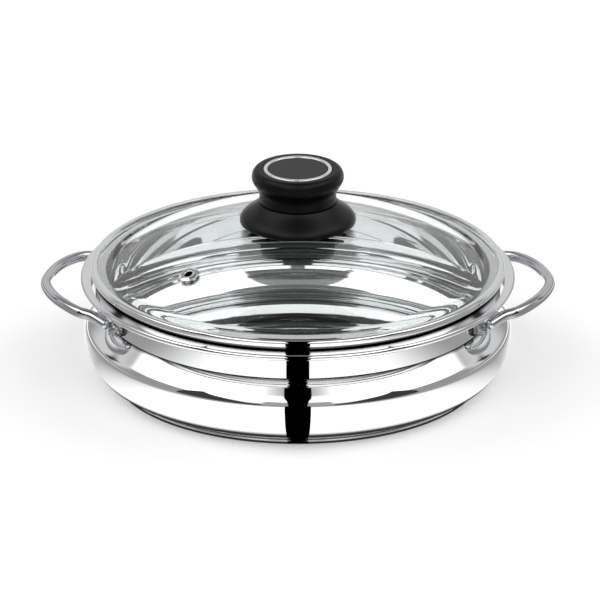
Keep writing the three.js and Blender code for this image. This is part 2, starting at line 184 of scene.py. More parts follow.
@dataclass
class Surface:
    """A mesh in the making: points in millimetres, and faces with a (u, v) in millimetres at each corner.

    Points marked in a crevice or bore get painted shade; where nothing is set, no point does.
    """

    points: Array
    quads: Array
    triangles: Array
    quad_uv: Array
    triangle_uv: Array
    dark: Array | None = None

    def moved(self, place: Sequence[float], turn: Array | None = None) -> "Surface":
        """Turns the surface by a 3 x 3 matrix about the origin, then carries it to a place."""
        self.points = (self.points if turn is None else self.points @ turn.T) + np.asarray(place, float)
        return self

    def mesh(self, name: str) -> bpy.types.Mesh:
        """Writes the surface to a Blender mesh in metres, smooth but for its crisp edges.

        Args:
            name: the mesh's name.

        Returns:
            The mesh.
        """
        mesh = bpy.data.meshes.new(name)
        mesh.from_pydata((self.points * MM).tolist(), [], self.quads.tolist() + self.triangles.tolist())
        corners = np.concatenate([self.quad_uv.reshape(-1, 2), self.triangle_uv.reshape(-1, 2)]) * MM
        mesh.uv_layers.new(name="surface").data.foreach_set("uv", corners.astype(np.float32).ravel())
        if self.dark is not None:
            shade = mesh.attributes.new(PAINTED_SHADE, "FLOAT", "POINT")
            shade.data.foreach_set("value", self.dark.astype(np.float32))
        mesh.shade_smooth()
        mesh.set_sharp_from_angle(angle=math.radians(CREASE_ANGLE))
        return mesh


def skin(rings: Array, closed: bool) -> Surface:
    """Covers a stack of rings with quads, and closes a ring that is a single point with triangles.

    Args:
        rings: points as (ring, place round the ring, xyz); each ring closes on itself.
        closed: whether the last ring joins the first.

    Returns:
        The surface, facing out where rings that run counter-clockwise are stacked upwards.
    """
    count, sides = rings.shape[:2]
    index = np.arange(count * sides).reshape(count, sides)
    point_like = np.ptp(rings, axis=1).max(axis=1) < POLE
    index[point_like] = index[point_like, :1]
    step = np.linalg.norm(np.diff(rings, axis=0), axis=2).mean(axis=1)
    along = np.concatenate([[0.0], np.cumsum(step)])
    girth = np.linalg.norm(rings - np.roll(rings, 1, axis=1), axis=2).sum(axis=1).max()
    if closed:
        index = np.vstack([index, index[:1]])
        along = np.append(along, along[-1] + np.linalg.norm(rings[0] - rings[-1], axis=1).mean())
    after = np.roll(index, -1, axis=1)
    quads = np.stack([index[:-1], after[:-1], after[1:], index[1:]], axis=-1).reshape(-1, 4)
    u = np.arange(sides + 1) * girth / sides
    u0, v0 = np.meshgrid(u[:-1], along[:-1])
    u1, v1 = np.meshgrid(u[1:], along[1:])
    corners = ((u0, v0), (u1, v0), (u1, v1), (u0, v1))
    uv = np.stack([np.stack(pair, -1) for pair in corners], 2).reshape(-1, 4, 2)
    foot, top = quads[:, 0] == quads[:, 1], quads[:, 2] == quads[:, 3]
    whole = ~(foot | top)
    triangles = np.concatenate([quads[foot][:, [0, 2, 3]], quads[top][:, [0, 1, 2]]])
    triangle_uv = np.concatenate([uv[foot][:, [0, 2, 3]], uv[top][:, [0, 1, 2]]])
    used, fresh = np.unique(np.concatenate([quads[whole].ravel(), triangles.ravel()]), return_inverse=True)
    split = quads[whole].size
    return Surface(
        rings.reshape(-1, 3)[used],
        fresh[:split].reshape(-1, 4),
        fresh[split:].reshape(-1, 3),
        uv[whole],
        triangle_uv,
    )


def lathe(profile: Array, sides: int) -> Surface:
    """Turns a profile about Z: (r cos a, r sin a, z) for every profile point and every angle a.

    Args:
        profile: (r, z) points with the outside drawn going up; it starts and ends on the axis or is closed.
        sides: steps round the axis.

    Returns:
        The turned surface.
    """
    angle = np.linspace(0, 2 * np.pi, sides, endpoint=False)
    r, z = profile[:, :1], profile[:, 1:]
    rings = np.stack([r * np.cos(angle), r * np.sin(angle), np.broadcast_to(z, (len(z), sides))], axis=-1)
    return skin(rings, closed=min(profile[0, 0], profile[-1, 0]) > POLE)


def through(points: Array, steps: int) -> Array:
    """A smooth curve through points: a centripetal Catmull-Rom spline, sampled at even lengths.

    Args:
        points: the points, one row each.
        steps: how many even lengths the curve is cut into.

    Returns:
        The sampled curve.
    """
    ends = np.vstack([2 * points[0] - points[1], points, 2 * points[-1] - points[-2]])
    knots = np.sqrt(np.linalg.norm(np.diff(ends, axis=0), axis=1))[:, None]
    p0, p1, p2, p3 = ends[:-3], ends[1:-2], ends[2:-1], ends[3:]
    d0, d1, d2 = knots[:-2], knots[1:-1], knots[2:]
    leave = ((p1 - p0) / d0 - (p2 - p0) / (d0 + d1) + (p2 - p1) / d1) * d1
    arrive = ((p2 - p1) / d1 - (p3 - p1) / (d1 + d2) + (p3 - p2) / d2) * d1
    t = np.linspace(0, 1, 40, endpoint=False)[:, None, None]
    span = (2 * t**3 - 3 * t**2 + 1) * p1 + (t**3 - 2 * t**2 + t) * leave
    span = span + (3 * t**2 - 2 * t**3) * p2 + (t**3 - t**2) * arrive
    curve = np.vstack([span.transpose(1, 0, 2).reshape(-1, 3), points[-1:]])
    length = np.concatenate([[0.0], np.cumsum(np.linalg.norm(np.diff(curve, axis=0), axis=1))])
    even = np.linspace(0, length[-1], steps + 1)
    return np.column_stack([np.interp(even, length, curve[:, axis]) for axis in range(3)])


def wire(path: Array, radius: float, sides: int) -> Surface:
    """A round wire along a path, with half-round ends inside the path's length.

    Each ring is c + s(radius cos a) + w(radius sin a), with s level and square to the path and w square to
    both; over the last radius at each end rings shrink as the root of radius squared less distance squared.

    Args:
        path: points of the wire's middle line, nowhere running straight up.
        radius: radius of the wire.
        sides: steps round the wire.

    Returns:
        The wire's surface.
    """
    length = np.concatenate([[0.0], np.cumsum(np.linalg.norm(np.diff(path, axis=0), axis=1))])
    bend = radius * (1 - np.cos(np.radians(np.linspace(0, 90, 9))))
    body = length[(length > radius) & (length < length[-1] - radius)]
    at = np.concatenate([bend, body, length[-1] - bend[::-1]])
    middle = np.column_stack([np.interp(at, length, path[:, axis]) for axis in range(3)])
    from_end = np.minimum(np.minimum(at, length[-1] - at), radius)
    size = np.sqrt(np.maximum(radius**2 - (radius - from_end) ** 2, 0.0))
    ahead = np.gradient(middle, at, axis=0)
    ahead /= np.linalg.norm(ahead, axis=1)[:, None]
    side = np.cross(ahead, [0.0, 0.0, 1.0])
    side /= np.linalg.norm(side, axis=1)[:, None]
    rise = np.cross(side, ahead)
    angle = np.linspace(0, 2 * np.pi, sides, endpoint=False)[:, None]
    ring = side[:, None] * np.cos(angle) + rise[:, None] * np.sin(angle)
    return skin(middle[:, None] - ring[:, ::-1] * size[:, None, None], closed=False)


def facing(direction: Sequence[float]) -> Array:
    """The turn that takes +Z to a direction and keeps the turned piece's own X level.

    Args:
        direction: where +Z goes; not straight up or down unless it is +Z itself.

    Returns:
        A 3 x 3 rotation matrix.
    """
    z = np.asarray(direction, float) / np.linalg.norm(direction)
    x = np.cross([0.0, 0.0, 1.0], z)
    size = np.linalg.norm(x)
    x = x / size if size > POLE else np.array([1.0, 0.0, 0.0])
    return np.column_stack([x, np.cross(z, x), z])


def heading(bearing: float) -> Array:
    """Level unit vector at a bearing in degrees from +X towards +Y."""
    return np.array([math.cos(math.radians(bearing)), math.sin(math.radians(bearing)), 0.0])


def box_mm(node: str) -> tuple[Array, Array]:
    """Lowest and highest corner of a CAD node, in millimetres."""
    low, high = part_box(node)
    return np.array(low) / MM, np.array(high) / MM


def middle_mm(node: str) -> Array:
    """Middle of a CAD node's box, in millimetres."""
    low, high = box_mm(node)
    return (low + high) / 2


def carve(piece: bpy.types.Object, tool: Surface) -> None:
    """Cuts a closed surface out of a piece and leaves nothing of the tool behind.

    Args:
        piece: the piece to cut.
        tool: what is taken away.
    """
    cutter = bpy.data.objects.new("cutter", tool.mesh("cutter"))
    bpy.context.scene.collection.objects.link(cutter)
    cut = piece.modifiers.new("carve", "BOOLEAN")
    cut.operation = "DIFFERENCE"
    cut.solver = "EXACT"
    cut.object = cutter
    graph = bpy.context.evaluated_depsgraph_get()
    carved = bpy.data.meshes.new_from_object(piece.evaluated_get(graph))
    piece.modifiers.clear()
    piece.data = carved
    bpy.data.objects.remove(cutter)
    carved.set_sharp_from_angle(angle=math.radians(CREASE_ANGLE))


# Finishes: a finish's span is the range of noise over which its look changes, and beyond it nothing changes


def linear(colour: str) -> tuple[float, float, float, float]:
    """Turns an sRGB hex colour into linear red, green, blue and a full alpha."""
    channels = [int(colour[i : i + 2], 16) / 255 for i in (1, 3, 5)]
    light = [c / 12.92 if c <= 0.04045 else ((c + 0.055) / 1.055) ** 2.4 for c in channels]
    return (*light, 1.0)


def add_node(
    tree: bpy.types.NodeTree, kind: str, inputs: dict | None = None, **settings: Any
) -> bpy.types.Node:
    """Adds a node, sets it up and feeds it.

    Args:
        tree: the node tree.
        kind: Blender's name of the node type.
        inputs: what each input gets: a plain value, an output socket, or a node for its first output.
        settings: the node's own settings.

    Returns:
        The node.
    """
    node = tree.nodes.new(kind)
    for name, value in settings.items():
        setattr(node, name, value)
    for key, value in (inputs or {}).items():
        source = value.outputs[0] if isinstance(value, bpy.types.Node) else value
        if isinstance(source, bpy.types.NodeSocket):
            tree.links.new(source, node.inputs[key])
        else:
            node.inputs[key].default_value = source
    return node


class Finish(Protocol):
    """Anything that can make a material for one of the record's slots."""

    name: str
    slot: Slot

    def material(self) -> bpy.types.Material:
        """The finish's Blender material."""


def new_material(name: str) -> tuple[bpy.types.Material, bpy.types.NodeTree, bpy.types.Node]:
    """A material with an empty tree but for a Principled shader and the output.

    Args:
        name: the material's name.

    Returns:
        The material, its tree and the Principled node.
    """
    material = bpy.data.materials.new(name)
    material.use_nodes = True
    tree = material.node_tree
    tree.nodes.clear()
    shader = add_node(tree, "ShaderNodeBsdfPrincipled")
    add_node(tree, "ShaderNodeOutputMaterial", {"Surface": shader.outputs["BSDF"]})
    return material, tree, shader


def per_mm(size: float) -> float:
    """Texture scale at which a pattern on coordinates in metres repeats about every size millimetres."""
    return 1 / (size * MM)


def turned_coordinates(tree: bpy.types.NodeTree) -> bpy.types.NodeSocket:
    """Object coordinates folded about Z into (radius, 0, height), on which a pattern runs in rings.

    Args:
        tree: the material's tree.

    Returns:
        The socket that carries them.
    """
    place = add_node(tree, "ShaderNodeTexCoord").outputs["Object"]
    parts = add_node(tree, "ShaderNodeSeparateXYZ", {0: place})
    level = add_node(tree, "ShaderNodeCombineXYZ", {"X": parts.outputs["X"], "Y": parts.outputs["Y"]})
    radius = add_node(tree, "ShaderNodeVectorMath", {0: level.outputs[0]}, operation="LENGTH")
    ring = add_node(tree, "ShaderNodeCombineXYZ", {"X": radius.outputs["Value"], "Z": parts.outputs["Z"]})
    return ring.outputs[0]


@dataclass(frozen=True)
class TurnedSteel:
    """Stainless sheet, spun on a lathe and buffed: a mirror with faint rings round the axis and wiped smears.

    The mirror gives the eye hard-edged reflections; the rings, wider than real buffing marks so that they
    show, only break up the edges of what it mirrors. Points marked in crevices and bores are painted near
    black as painted shade.
    """

    name: str
    slot: Slot
    bright: str = "#f2f2f3"
    dull: str = "#eaebec"
    smooth: float = 0.006
    worn: float = 0.02
    ring_spacing: float = 1.1
    ring_height: float = 0.00004
    smear_size: float = 26.0
    span: tuple[float, float] = (0.35, 0.7)
    # colour of the painted shade at marked crevices and bores
    painted_shade: str = "#0c0c0d"

    def material(self) -> bpy.types.Material:
        """The buffed steel's material: colour and gloss follow the smears, a slight bump the rings, and marked
        points take a painted shade.
        """
        material, tree, shader = new_material(self.name)
        shader.inputs["Metallic"].default_value = 1.0
        place = add_node(tree, "ShaderNodeTexCoord").outputs["Object"]
        smear = add_node(
            tree, "ShaderNodeTexNoise", {"Vector": place, "Scale": per_mm(self.smear_size), "Detail": 3.0}
        )
        gloss = add_node(
            tree,
            "ShaderNodeMapRange",
            {
                "Value": smear,
                "From Min": self.span[0],
                "From Max": self.span[1],
                "To Min": self.smooth,
                "To Max": self.worn,
            },
        )
        tint = add_node(
            tree,
            "ShaderNodeMix",
            {0: smear.outputs[0], 6: linear(self.bright), 7: linear(self.dull)},
            data_type="RGBA",
        )
        rings = add_node(
            tree,
            "ShaderNodeTexNoise",
            {"Vector": turned_coordinates(tree), "Scale": per_mm(self.ring_spacing), "Detail": 2.0},
        )
        bump = add_node(
            tree,
            "ShaderNodeBump",
            {"Height": rings.outputs[0], "Strength": 1.0, "Distance": self.ring_height * MM},
        )
        # painted shade: marked points in crevices and bores are mixed to a near-black colour
        corner = add_node(tree, "ShaderNodeAttribute", attribute_name=PAINTED_SHADE)
        colour = add_node(
            tree,
            "ShaderNodeMix",
            {0: corner.outputs["Fac"], 6: tint.outputs[2], 7: linear(self.painted_shade)},
            data_type="RGBA",
        )
        tree.links.new(colour.outputs[2], shader.inputs["Base Color"])
        tree.links.new(gloss.outputs[0], shader.inputs["Roughness"])
        tree.links.new(bump.outputs[0], shader.inputs["Normal"])
        return material


@dataclass(frozen=True)
class DrawnWire:
    """Round stainless wire, drawn through a die and polished: long faint scores run along it."""

    name: str = "drawn_stainless_wire"
    slot: Slot = Slot.WIRE_STEEL
    bright: str = "#dfe0e3"
    dull: str = "#b4b5b8"
    smooth: float = 0.03
    worn: float = 0.09
    score_width: float = 0.5
    score_length: float = 30.0
    span: tuple[float, float] = (0.3, 0.7)

    def material(self) -> bpy.types.Material:
        """The wire's material: scores stretched along the piece's own UV map set its colour and gloss."""
        material, tree, shader = new_material(self.name)
        shader.inputs["Metallic"].default_value = 1.0
        along = add_node(tree, "ShaderNodeTexCoord").outputs["UV"]
        stretched = add_node(
            tree,
            "ShaderNodeMapping",
            {"Vector": along, "Scale": (per_mm(self.score_width), per_mm(self.score_length), 1.0)},
        )
        scores = add_node(
            tree, "ShaderNodeTexNoise", {"Vector": stretched.outputs[0], "Scale": 1.0, "Detail": 3.0}
        )
        tint = add_node(
            tree,
            "ShaderNodeMix",
            {0: scores.outputs[0], 6: linear(self.bright), 7: linear(self.dull)},
            data_type="RGBA",
        )
        gloss = add_node(
            tree,
            "ShaderNodeMapRange",
            {
                "Value": scores,
                "From Min": self.span[0],
                "From Max": self.span[1],
                "To Min": self.smooth,
                "To Max": self.worn,
            },
        )
        tree.links.new(tint.outputs[2], shader.inputs["Base Color"])
        tree.links.new(gloss.outputs[0], shader.inputs["Roughness"])
        return material


@dataclass(frozen=True)
class WeldBead:
    """Electric weld left as cast and brushed over: dull grey, pitted, with paler high spots."""

    name: str = "brushed_weld_bead"
    slot: Slot = Slot.WELD_STEEL
    pit: str = "#6a6b6c"
    high: str = "#d6d7d8"
    rough: float = 0.55
    worn: float = 0.28
    grain: float = 1.1
    pit_depth: float = 0.25
    pit_strength: float = 0.8
    span: tuple[float, float] = (0.35, 0.65)

    def material(self) -> bpy.types.Material:
        """The weld's material: one grain drives its colour, its gloss and its pits."""
        material, tree, shader = new_material(self.name)
        shader.inputs["Metallic"].default_value = 1.0
        place = add_node(tree, "ShaderNodeTexCoord").outputs["Object"]
        grain = add_node(
            tree, "ShaderNodeTexNoise", {"Vector": place, "Scale": per_mm(self.grain), "Detail": 4.0}
        )
        spread = add_node(
            tree,
            "ShaderNodeMapRange",
            {"Value": grain, "From Min": self.span[0], "From Max": self.span[1]},
        )
        tint = add_node(
            tree,
            "ShaderNodeMix",
            {0: spread.outputs[0], 6: linear(self.pit), 7: linear(self.high)},
            data_type="RGBA",
        )
        gloss = add_node(
            tree, "ShaderNodeMapRange", {"Value": spread, "To Min": self.rough, "To Max": self.worn}
        )
        bump = add_node(
            tree,
            "ShaderNodeBump",
            {"Height": grain, "Strength": self.pit_strength, "Distance": self.pit_depth * MM},
        )
        tree.links.new(tint.outputs[2], shader.inputs["Base Color"])
        tree.links.new(gloss.outputs[0], shader.inputs["Roughness"])
        tree.links.new(bump.outputs[0], shader.inputs["Normal"])
        return material


@dataclass(frozen=True)
class ClearGlass:
    """Tempered soda-lime glass: clear and smooth, with the slow ripple that quenching leaves in its faces."""

    name: str = "tempered_soda_lime_glass"
    slot: Slot = Slot.TEMPERED_GLASS
    tint: str = "#fbfdfc"
    index: float = 1.52
    ripple_size: float = 24.0
    ripple_height: float = 0.006

    def material(self) -> bpy.types.Material:
        """The glass's material; lamps reach through it, so that what it covers is lit."""
        material, tree, shader = new_material(self.name)
        shader.inputs["Base Color"].default_value = linear(self.tint)
        shader.inputs["Roughness"].default_value = 0.0
        shader.inputs["IOR"].default_value = self.index
        shader.inputs["Transmission Weight"].default_value = 1.0
        place = add_node(tree, "ShaderNodeTexCoord").outputs["Object"]
        ripple = add_node(
            tree, "ShaderNodeTexNoise", {"Vector": place, "Scale": per_mm(self.ripple_size), "Detail": 1.0}
        )
        bump = add_node(
            tree,
            "ShaderNodeBump",
            {"Height": ripple.outputs[0], "Strength": 1.0, "Distance": self.ripple_height * MM},
        )
        tree.links.new(bump.outputs[0], shader.inputs["Normal"])
        path = add_node(tree, "ShaderNodeLightPath")
        clear = add_node(tree, "ShaderNodeBsdfTransparent")
        both = add_node(
            tree,
            "ShaderNodeMixShader",
            {0: path.outputs["Is Shadow Ray"], 1: shader.outputs["BSDF"], 2: clear.outputs["BSDF"]},
        )
        output = next(node for node in tree.nodes if node.type == "OUTPUT_MATERIAL")
        tree.links.new(both.outputs[0], output.inputs["Surface"])
        return material


@dataclass(frozen=True)
class Moulded:
    """A moulded or machined piece: a speckled colour and a fine grain from the tool's surface."""

    name: str
    slot: Slot
    dark: str
    pale: str
    smooth: float
    worn: float
    grain: float
    grain_height: float
    metallic: float = 0.0
    index: float = 1.5
    span: tuple[float, float] = (0.3, 0.7)

    def material(self) -> bpy.types.Material:
        """The moulding's material: its grain sets colour, gloss and a fine bump."""
        material, tree, shader = new_material(self.name)
        shader.inputs["Metallic"].default_value = self.metallic
        shader.inputs["IOR"].default_value = self.index
        place = add_node(tree, "ShaderNodeTexCoord").outputs["Object"]
        grain = add_node(
            tree, "ShaderNodeTexNoise", {"Vector": place, "Scale": per_mm(self.grain), "Detail": 3.0}
        )
        spread = add_node(
            tree,
            "ShaderNodeMapRange",
            {"Value": grain, "From Min": self.span[0], "From Max": self.span[1]},
        )
        tint = add_node(
            tree,
            "ShaderNodeMix",
            {0: spread.outputs[0], 6: linear(self.dark), 7: linear(self.pale)},
            data_type="RGBA",
        )
        gloss = add_node(
            tree,
            "ShaderNodeMapRange",
            {"Value": spread.outputs[0], "To Min": self.smooth, "To Max": self.worn},
        )
        bump = add_node(
            tree,
            "ShaderNodeBump",
            {"Height": grain.outputs[0], "Strength": 1.0, "Distance": self.grain_height * MM},
        )
        tree.links.new(tint.outputs[2], shader.inputs["Base Color"])
        tree.links.new(gloss.outputs[0], shader.inputs["Roughness"])
        tree.links.new(bump.outputs[0], shader.inputs["Normal"])
        return material


# Stainless sheet, spun and buffed: a mirror with hard-edged images.
MIRROR_STEEL = TurnedSteel("mirror_buffed_stainless_steel", Slot.POLISHED_STEEL)
# Stainless sole left as turned: a softer mirror, whose fine rings catch the light.
BASE_STEEL = TurnedSteel(
    "turned_stainless_base",
    Slot.BASE_STEEL,
    bright="#e4e5e7",
    dull="#d2d3d6",
    smooth=0.05,
    worn=0.1,
    ring_spacing=0.9,
    ring_height=0.001,
)
# Plated ring: bright and a little satin, so that it gathers light from all round.
RING_STEEL = TurnedSteel(
    "satin_plated_ring", Slot.POLISHED_STEEL, bright="#fbfbfb", dull="#f2f2f3", smooth=0.22, worn=0.32
)
# Drawn and polished wire: bright lines along its length, broken by the scores.
WIRE = DrawnWire()
# Weld that was brushed over: grey and grainy, with no mirror image in it.
WELD = WeldBead()
# Stamped pad: dark grey and grainy.
PAD_STEEL = WeldBead(
    "dark_grainy_pad", Slot.WIRE_STEEL, pit="#161617", high="#5e5f60", grain=0.8, pit_depth=0.12
)
# Tempered glass: clear from above, and a pale mirror where it is seen at a slant.
GLASS = ClearGlass()
# Phenolic moulding with a satin tool finish: near black, with soft wide highlights.
BAKELITE = Moulded(
    "satin_phenolic_moulding",
    Slot.BAKELITE,
    dark="#060607",
    pale="#0c0c0d",
    smooth=0.3,
    worn=0.42,
    grain=0.6,
    grain_height=0.004,
    index=1.3,
)
# Anodised plate: charcoal grey, a little metallic.
DARK_PLATE = Moulded(
    "anodised_plate",
    Slot.DARK_PLATE,
    dark="#2c2c2e",
    pale="#38383a",
    smooth=0.4,
    worn=0.5,
    grain=0.5,
    grain_height=0.003,
    metallic=0.4,
)
# Machined brass: yellow metal with a fine grain.
BRASS = Moulded(
    "machined_brass",
    Slot.BRASS,
    dark="#a8863f",
    pale="#d0b06a",
    smooth=0.2,
    worn=0.34,
    grain=0.4,
    grain_height=0.004,
    metallic=1.0,
)
# Rolled aluminium plate: pale and matt.
ALUMINIUM = Moulded(
    "rolled_aluminium",
    Slot.BASE_ALUMINIUM,
    dark="#a7a9ac",
    pale="#cfd1d3",
    smooth=0.35,
    worn=0.5,
    grain=0.8,
    grain_height=0.01,
    metallic=1.0,
)
# Milky silicone rubber, with a slight bloom on its skin.
SILICONE = Moulded(
    "moulded_silicone",
    Slot.SILICONE,
    dark="#cfd0d0",
    pale="#e2e3e3",
    smooth=0.5,
    worn=0.65,
    grain=1.5,
    grain_height=0.006,
    index=1.41,
)


class Workshop:
    """Turns surfaces into dressed pieces that ride on the frame's bodies."""

    def __init__(self) -> None:
        """Starts with no material made."""
        self._materials: dict[str, bpy.types.Material] = {}

    def material(self, finish: Finish) -> bpy.types.Material:
        """The finish's material, made once."""
        if finish.name not in self._materials:
            self._materials[finish.name] = finish.material()
        return self._materials[finish.name]

    def piece(self, node: str, surface: Surface, finish: Finish, body: Body) -> bpy.types.Object:
        """Makes the visible piece that stands for a CAD node.

        Args:
            node: the CAD node; the piece has its name with "_fine" added.
            surface: the piece's surface.
            finish: what it is finished with.
            body: the body that it moves with.

        Returns:
            The new object.
        """
        name = f"{node}_fine"
        piece = bpy.data.objects.new(name, surface.mesh(name))
        bpy.context.scene.collection.objects.link(piece)
        piece.data.materials.append(self.material(finish))
        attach(piece, body.value)
        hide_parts(node)
        LOG.info("%s: %d faces, %s", name, len(piece.data.polygons), finish.name)
        return piece

    def dress(self, node: str, finish: Finish) -> None:
        """Gives a CAD node that stays in place its material."""
        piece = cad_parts[node]
        piece.data.materials.clear()
        piece.data.materials.append(self.material(finish))
        LOG.info("%s: CAD solid, %s", node, finish.name)


# Sub-assemblies


@dataclass
class PotShell:
    """The spun body: flat floor, elliptical lower belly, rolled crease, sloping shoulder, neck and rim."""

    wall: float = 0.9
    rim_width: float = 11.8
    rim_bead: float = 3.2
    belly_bulge: float = 10.0
    belly_corner: float = 15.8
    neck_height: float = 17.9
    shoulder_rise: float = 12.7
    crease: float = 7.0
    foot_bend: float = 0.5
    corner: float = 0.5
    rim_bend: float = 1.1
    spot_depth: float = 0.35
    spot_width: float = 2.6
    sides: int = 320

    def __post_init__(self) -> None:
        """Takes the shell's place and outer sizes from the CAD body."""
        low, high = box_mm("pot_body")
        self.under, self.rim_top, self.rim = low[2], high[2], high[0]
        self.neck = self.rim - self.rim_width
        self.belly = self.neck + self.belly_bulge
        self.floor = self.belly - self.belly_corner
        self.neck_foot = self.rim_top - self.neck_height
        self.belly_z = self.neck_foot - self.shoulder_rise

    def face(self, inset: float) -> list:
        """One face of the sheet, from the axis out to the rim, set in from the outside.

        Args:
            inset: distance in from the outer face.

        Returns:
            The runs of its outline.
        """
        crease = np.array([self.belly - self.crease, self.belly_z])
        foot = np.array([self.neck + self.foot_bend, self.neck_foot + self.foot_bend])
        span = foot - crease
        lean = math.acos((self.crease + self.foot_bend) / np.linalg.norm(span))
        slope = math.degrees(math.atan2(span[1], span[0]) - lean)
        outer, hollow, brow = self.crease - inset, self.foot_bend + inset, self.rim_bend + inset
        rise = self.belly_z - self.under
        brow_z = self.rim_top - self.wall - self.rim_bend
        return [
            (0.0, self.under + inset),
            arc(self.floor, self.belly_z, self.belly_corner - inset, rise - inset, -90, 0),
            arc(*crease, outer, outer, 0, slope),
            arc(*foot, hollow, hollow, slope + 180, 180),
            (self.neck - inset, self.neck_foot + self.foot_bend + self.corner),
            arc(self.neck + self.rim_bend, brow_z, brow, brow, 180, 90),
        ]

    def bead(self) -> Array:
        """The rolled edge, from under the rim round to its top."""
        bead = self.rim_bead / 2
        start = 180 - math.degrees(math.asin((bead - self.wall) / bead))
        return arc(self.rim - bead, self.rim_top - bead, bead, bead, start, 450)

    def build(self, shop: Workshop) -> None:
        """Turns the sheet, presses the four spot-weld marks into the inside of its neck and paints shade into
        the crease at its foot.

        A mark moves a point inwards by depth x exp(-distance squared / (2 width squared)).

        Args:
            shop: where the piece is made.
        """
        inside = [np.atleast_2d(run)[::-1] for run in reversed(self.face(self.wall))]
        surface = lathe(outline(*self.face(0), self.bead(), *inside), self.sides)
        points = surface.points
        radius = np.hypot(points[:, 0], points[:, 1])
        inner = (radius < self.neck - self.wall / 2) & (points[:, 2] > self.neck_foot)
        for side in ("left", "right"):
            for end in ("front", "rear"):
                pad = middle_mm(f"{side}_{end}_pad")
                spot = np.array([*(pad[:2] / np.hypot(*pad[:2]) * (self.neck - self.wall)), pad[2]])
                away = np.sum((points - spot) ** 2, axis=1)
                push = inner * self.spot_depth * np.exp(-away / (2 * self.spot_width**2))
                points[:, :2] *= (1 - push / np.maximum(radius, 1))[:, None]
        # painted shade in the crease where the neck meets the shoulder
        away = np.hypot(radius - self.neck, points[:, 2] - self.neck_foot)
        surface.dark = (away < self.corner) & (radius > self.neck - self.wall / 2)
        shop.piece("pot_body", surface, MIRROR_STEEL, Body.POT)


@dataclass
class Base:
    """The steel cap pressed over an aluminium disc under the floor."""

    sheet: float = 0.7
    step_height: float = 2.6
    step: float = 1.3
    edge: float = 0.6
    brow: float = 1.2
    crease: float = 0.1
    dish: float = 0.25
    dish_edge: tuple[float, float] = (0.7, 0.8)  # shares of the radius
    dish_bend: float = 6.0
    sides: int = 256

    def build(self, shop: Workshop) -> None:
        """Turns the cap, with its stepped side and slightly dished sole, and dresses the disc inside.

        Args:
            shop: where the piece is made.
        """
        low, high = box_mm("base_cap")
        radius, top = high[0], high[2]
        upper = radius - self.step
        inside = upper - self.sheet
        profile = rounded(
            (0.0, low[2] + self.dish),
            (radius * self.dish_edge[0], low[2] + self.dish, self.dish_bend),
            (radius * self.dish_edge[1], low[2], self.dish_bend),
            (radius, low[2], self.edge),
            (radius, self.step_height, self.brow),
            (upper, self.step_height, self.crease),
            (upper, top, EDGE),
            (inside, top, EDGE),
            (inside, self.sheet + self.dish),
            (0.0, self.sheet + self.dish),
        )
        shop.piece("base_cap", lathe(profile, self.sides), BASE_STEEL, Body.POT)
        shop.dress("base_core", ALUMINIUM)


class Side(Enum):
    """Which handle, with the way that it points along X."""

    LEFT = -1
    RIGHT = 1


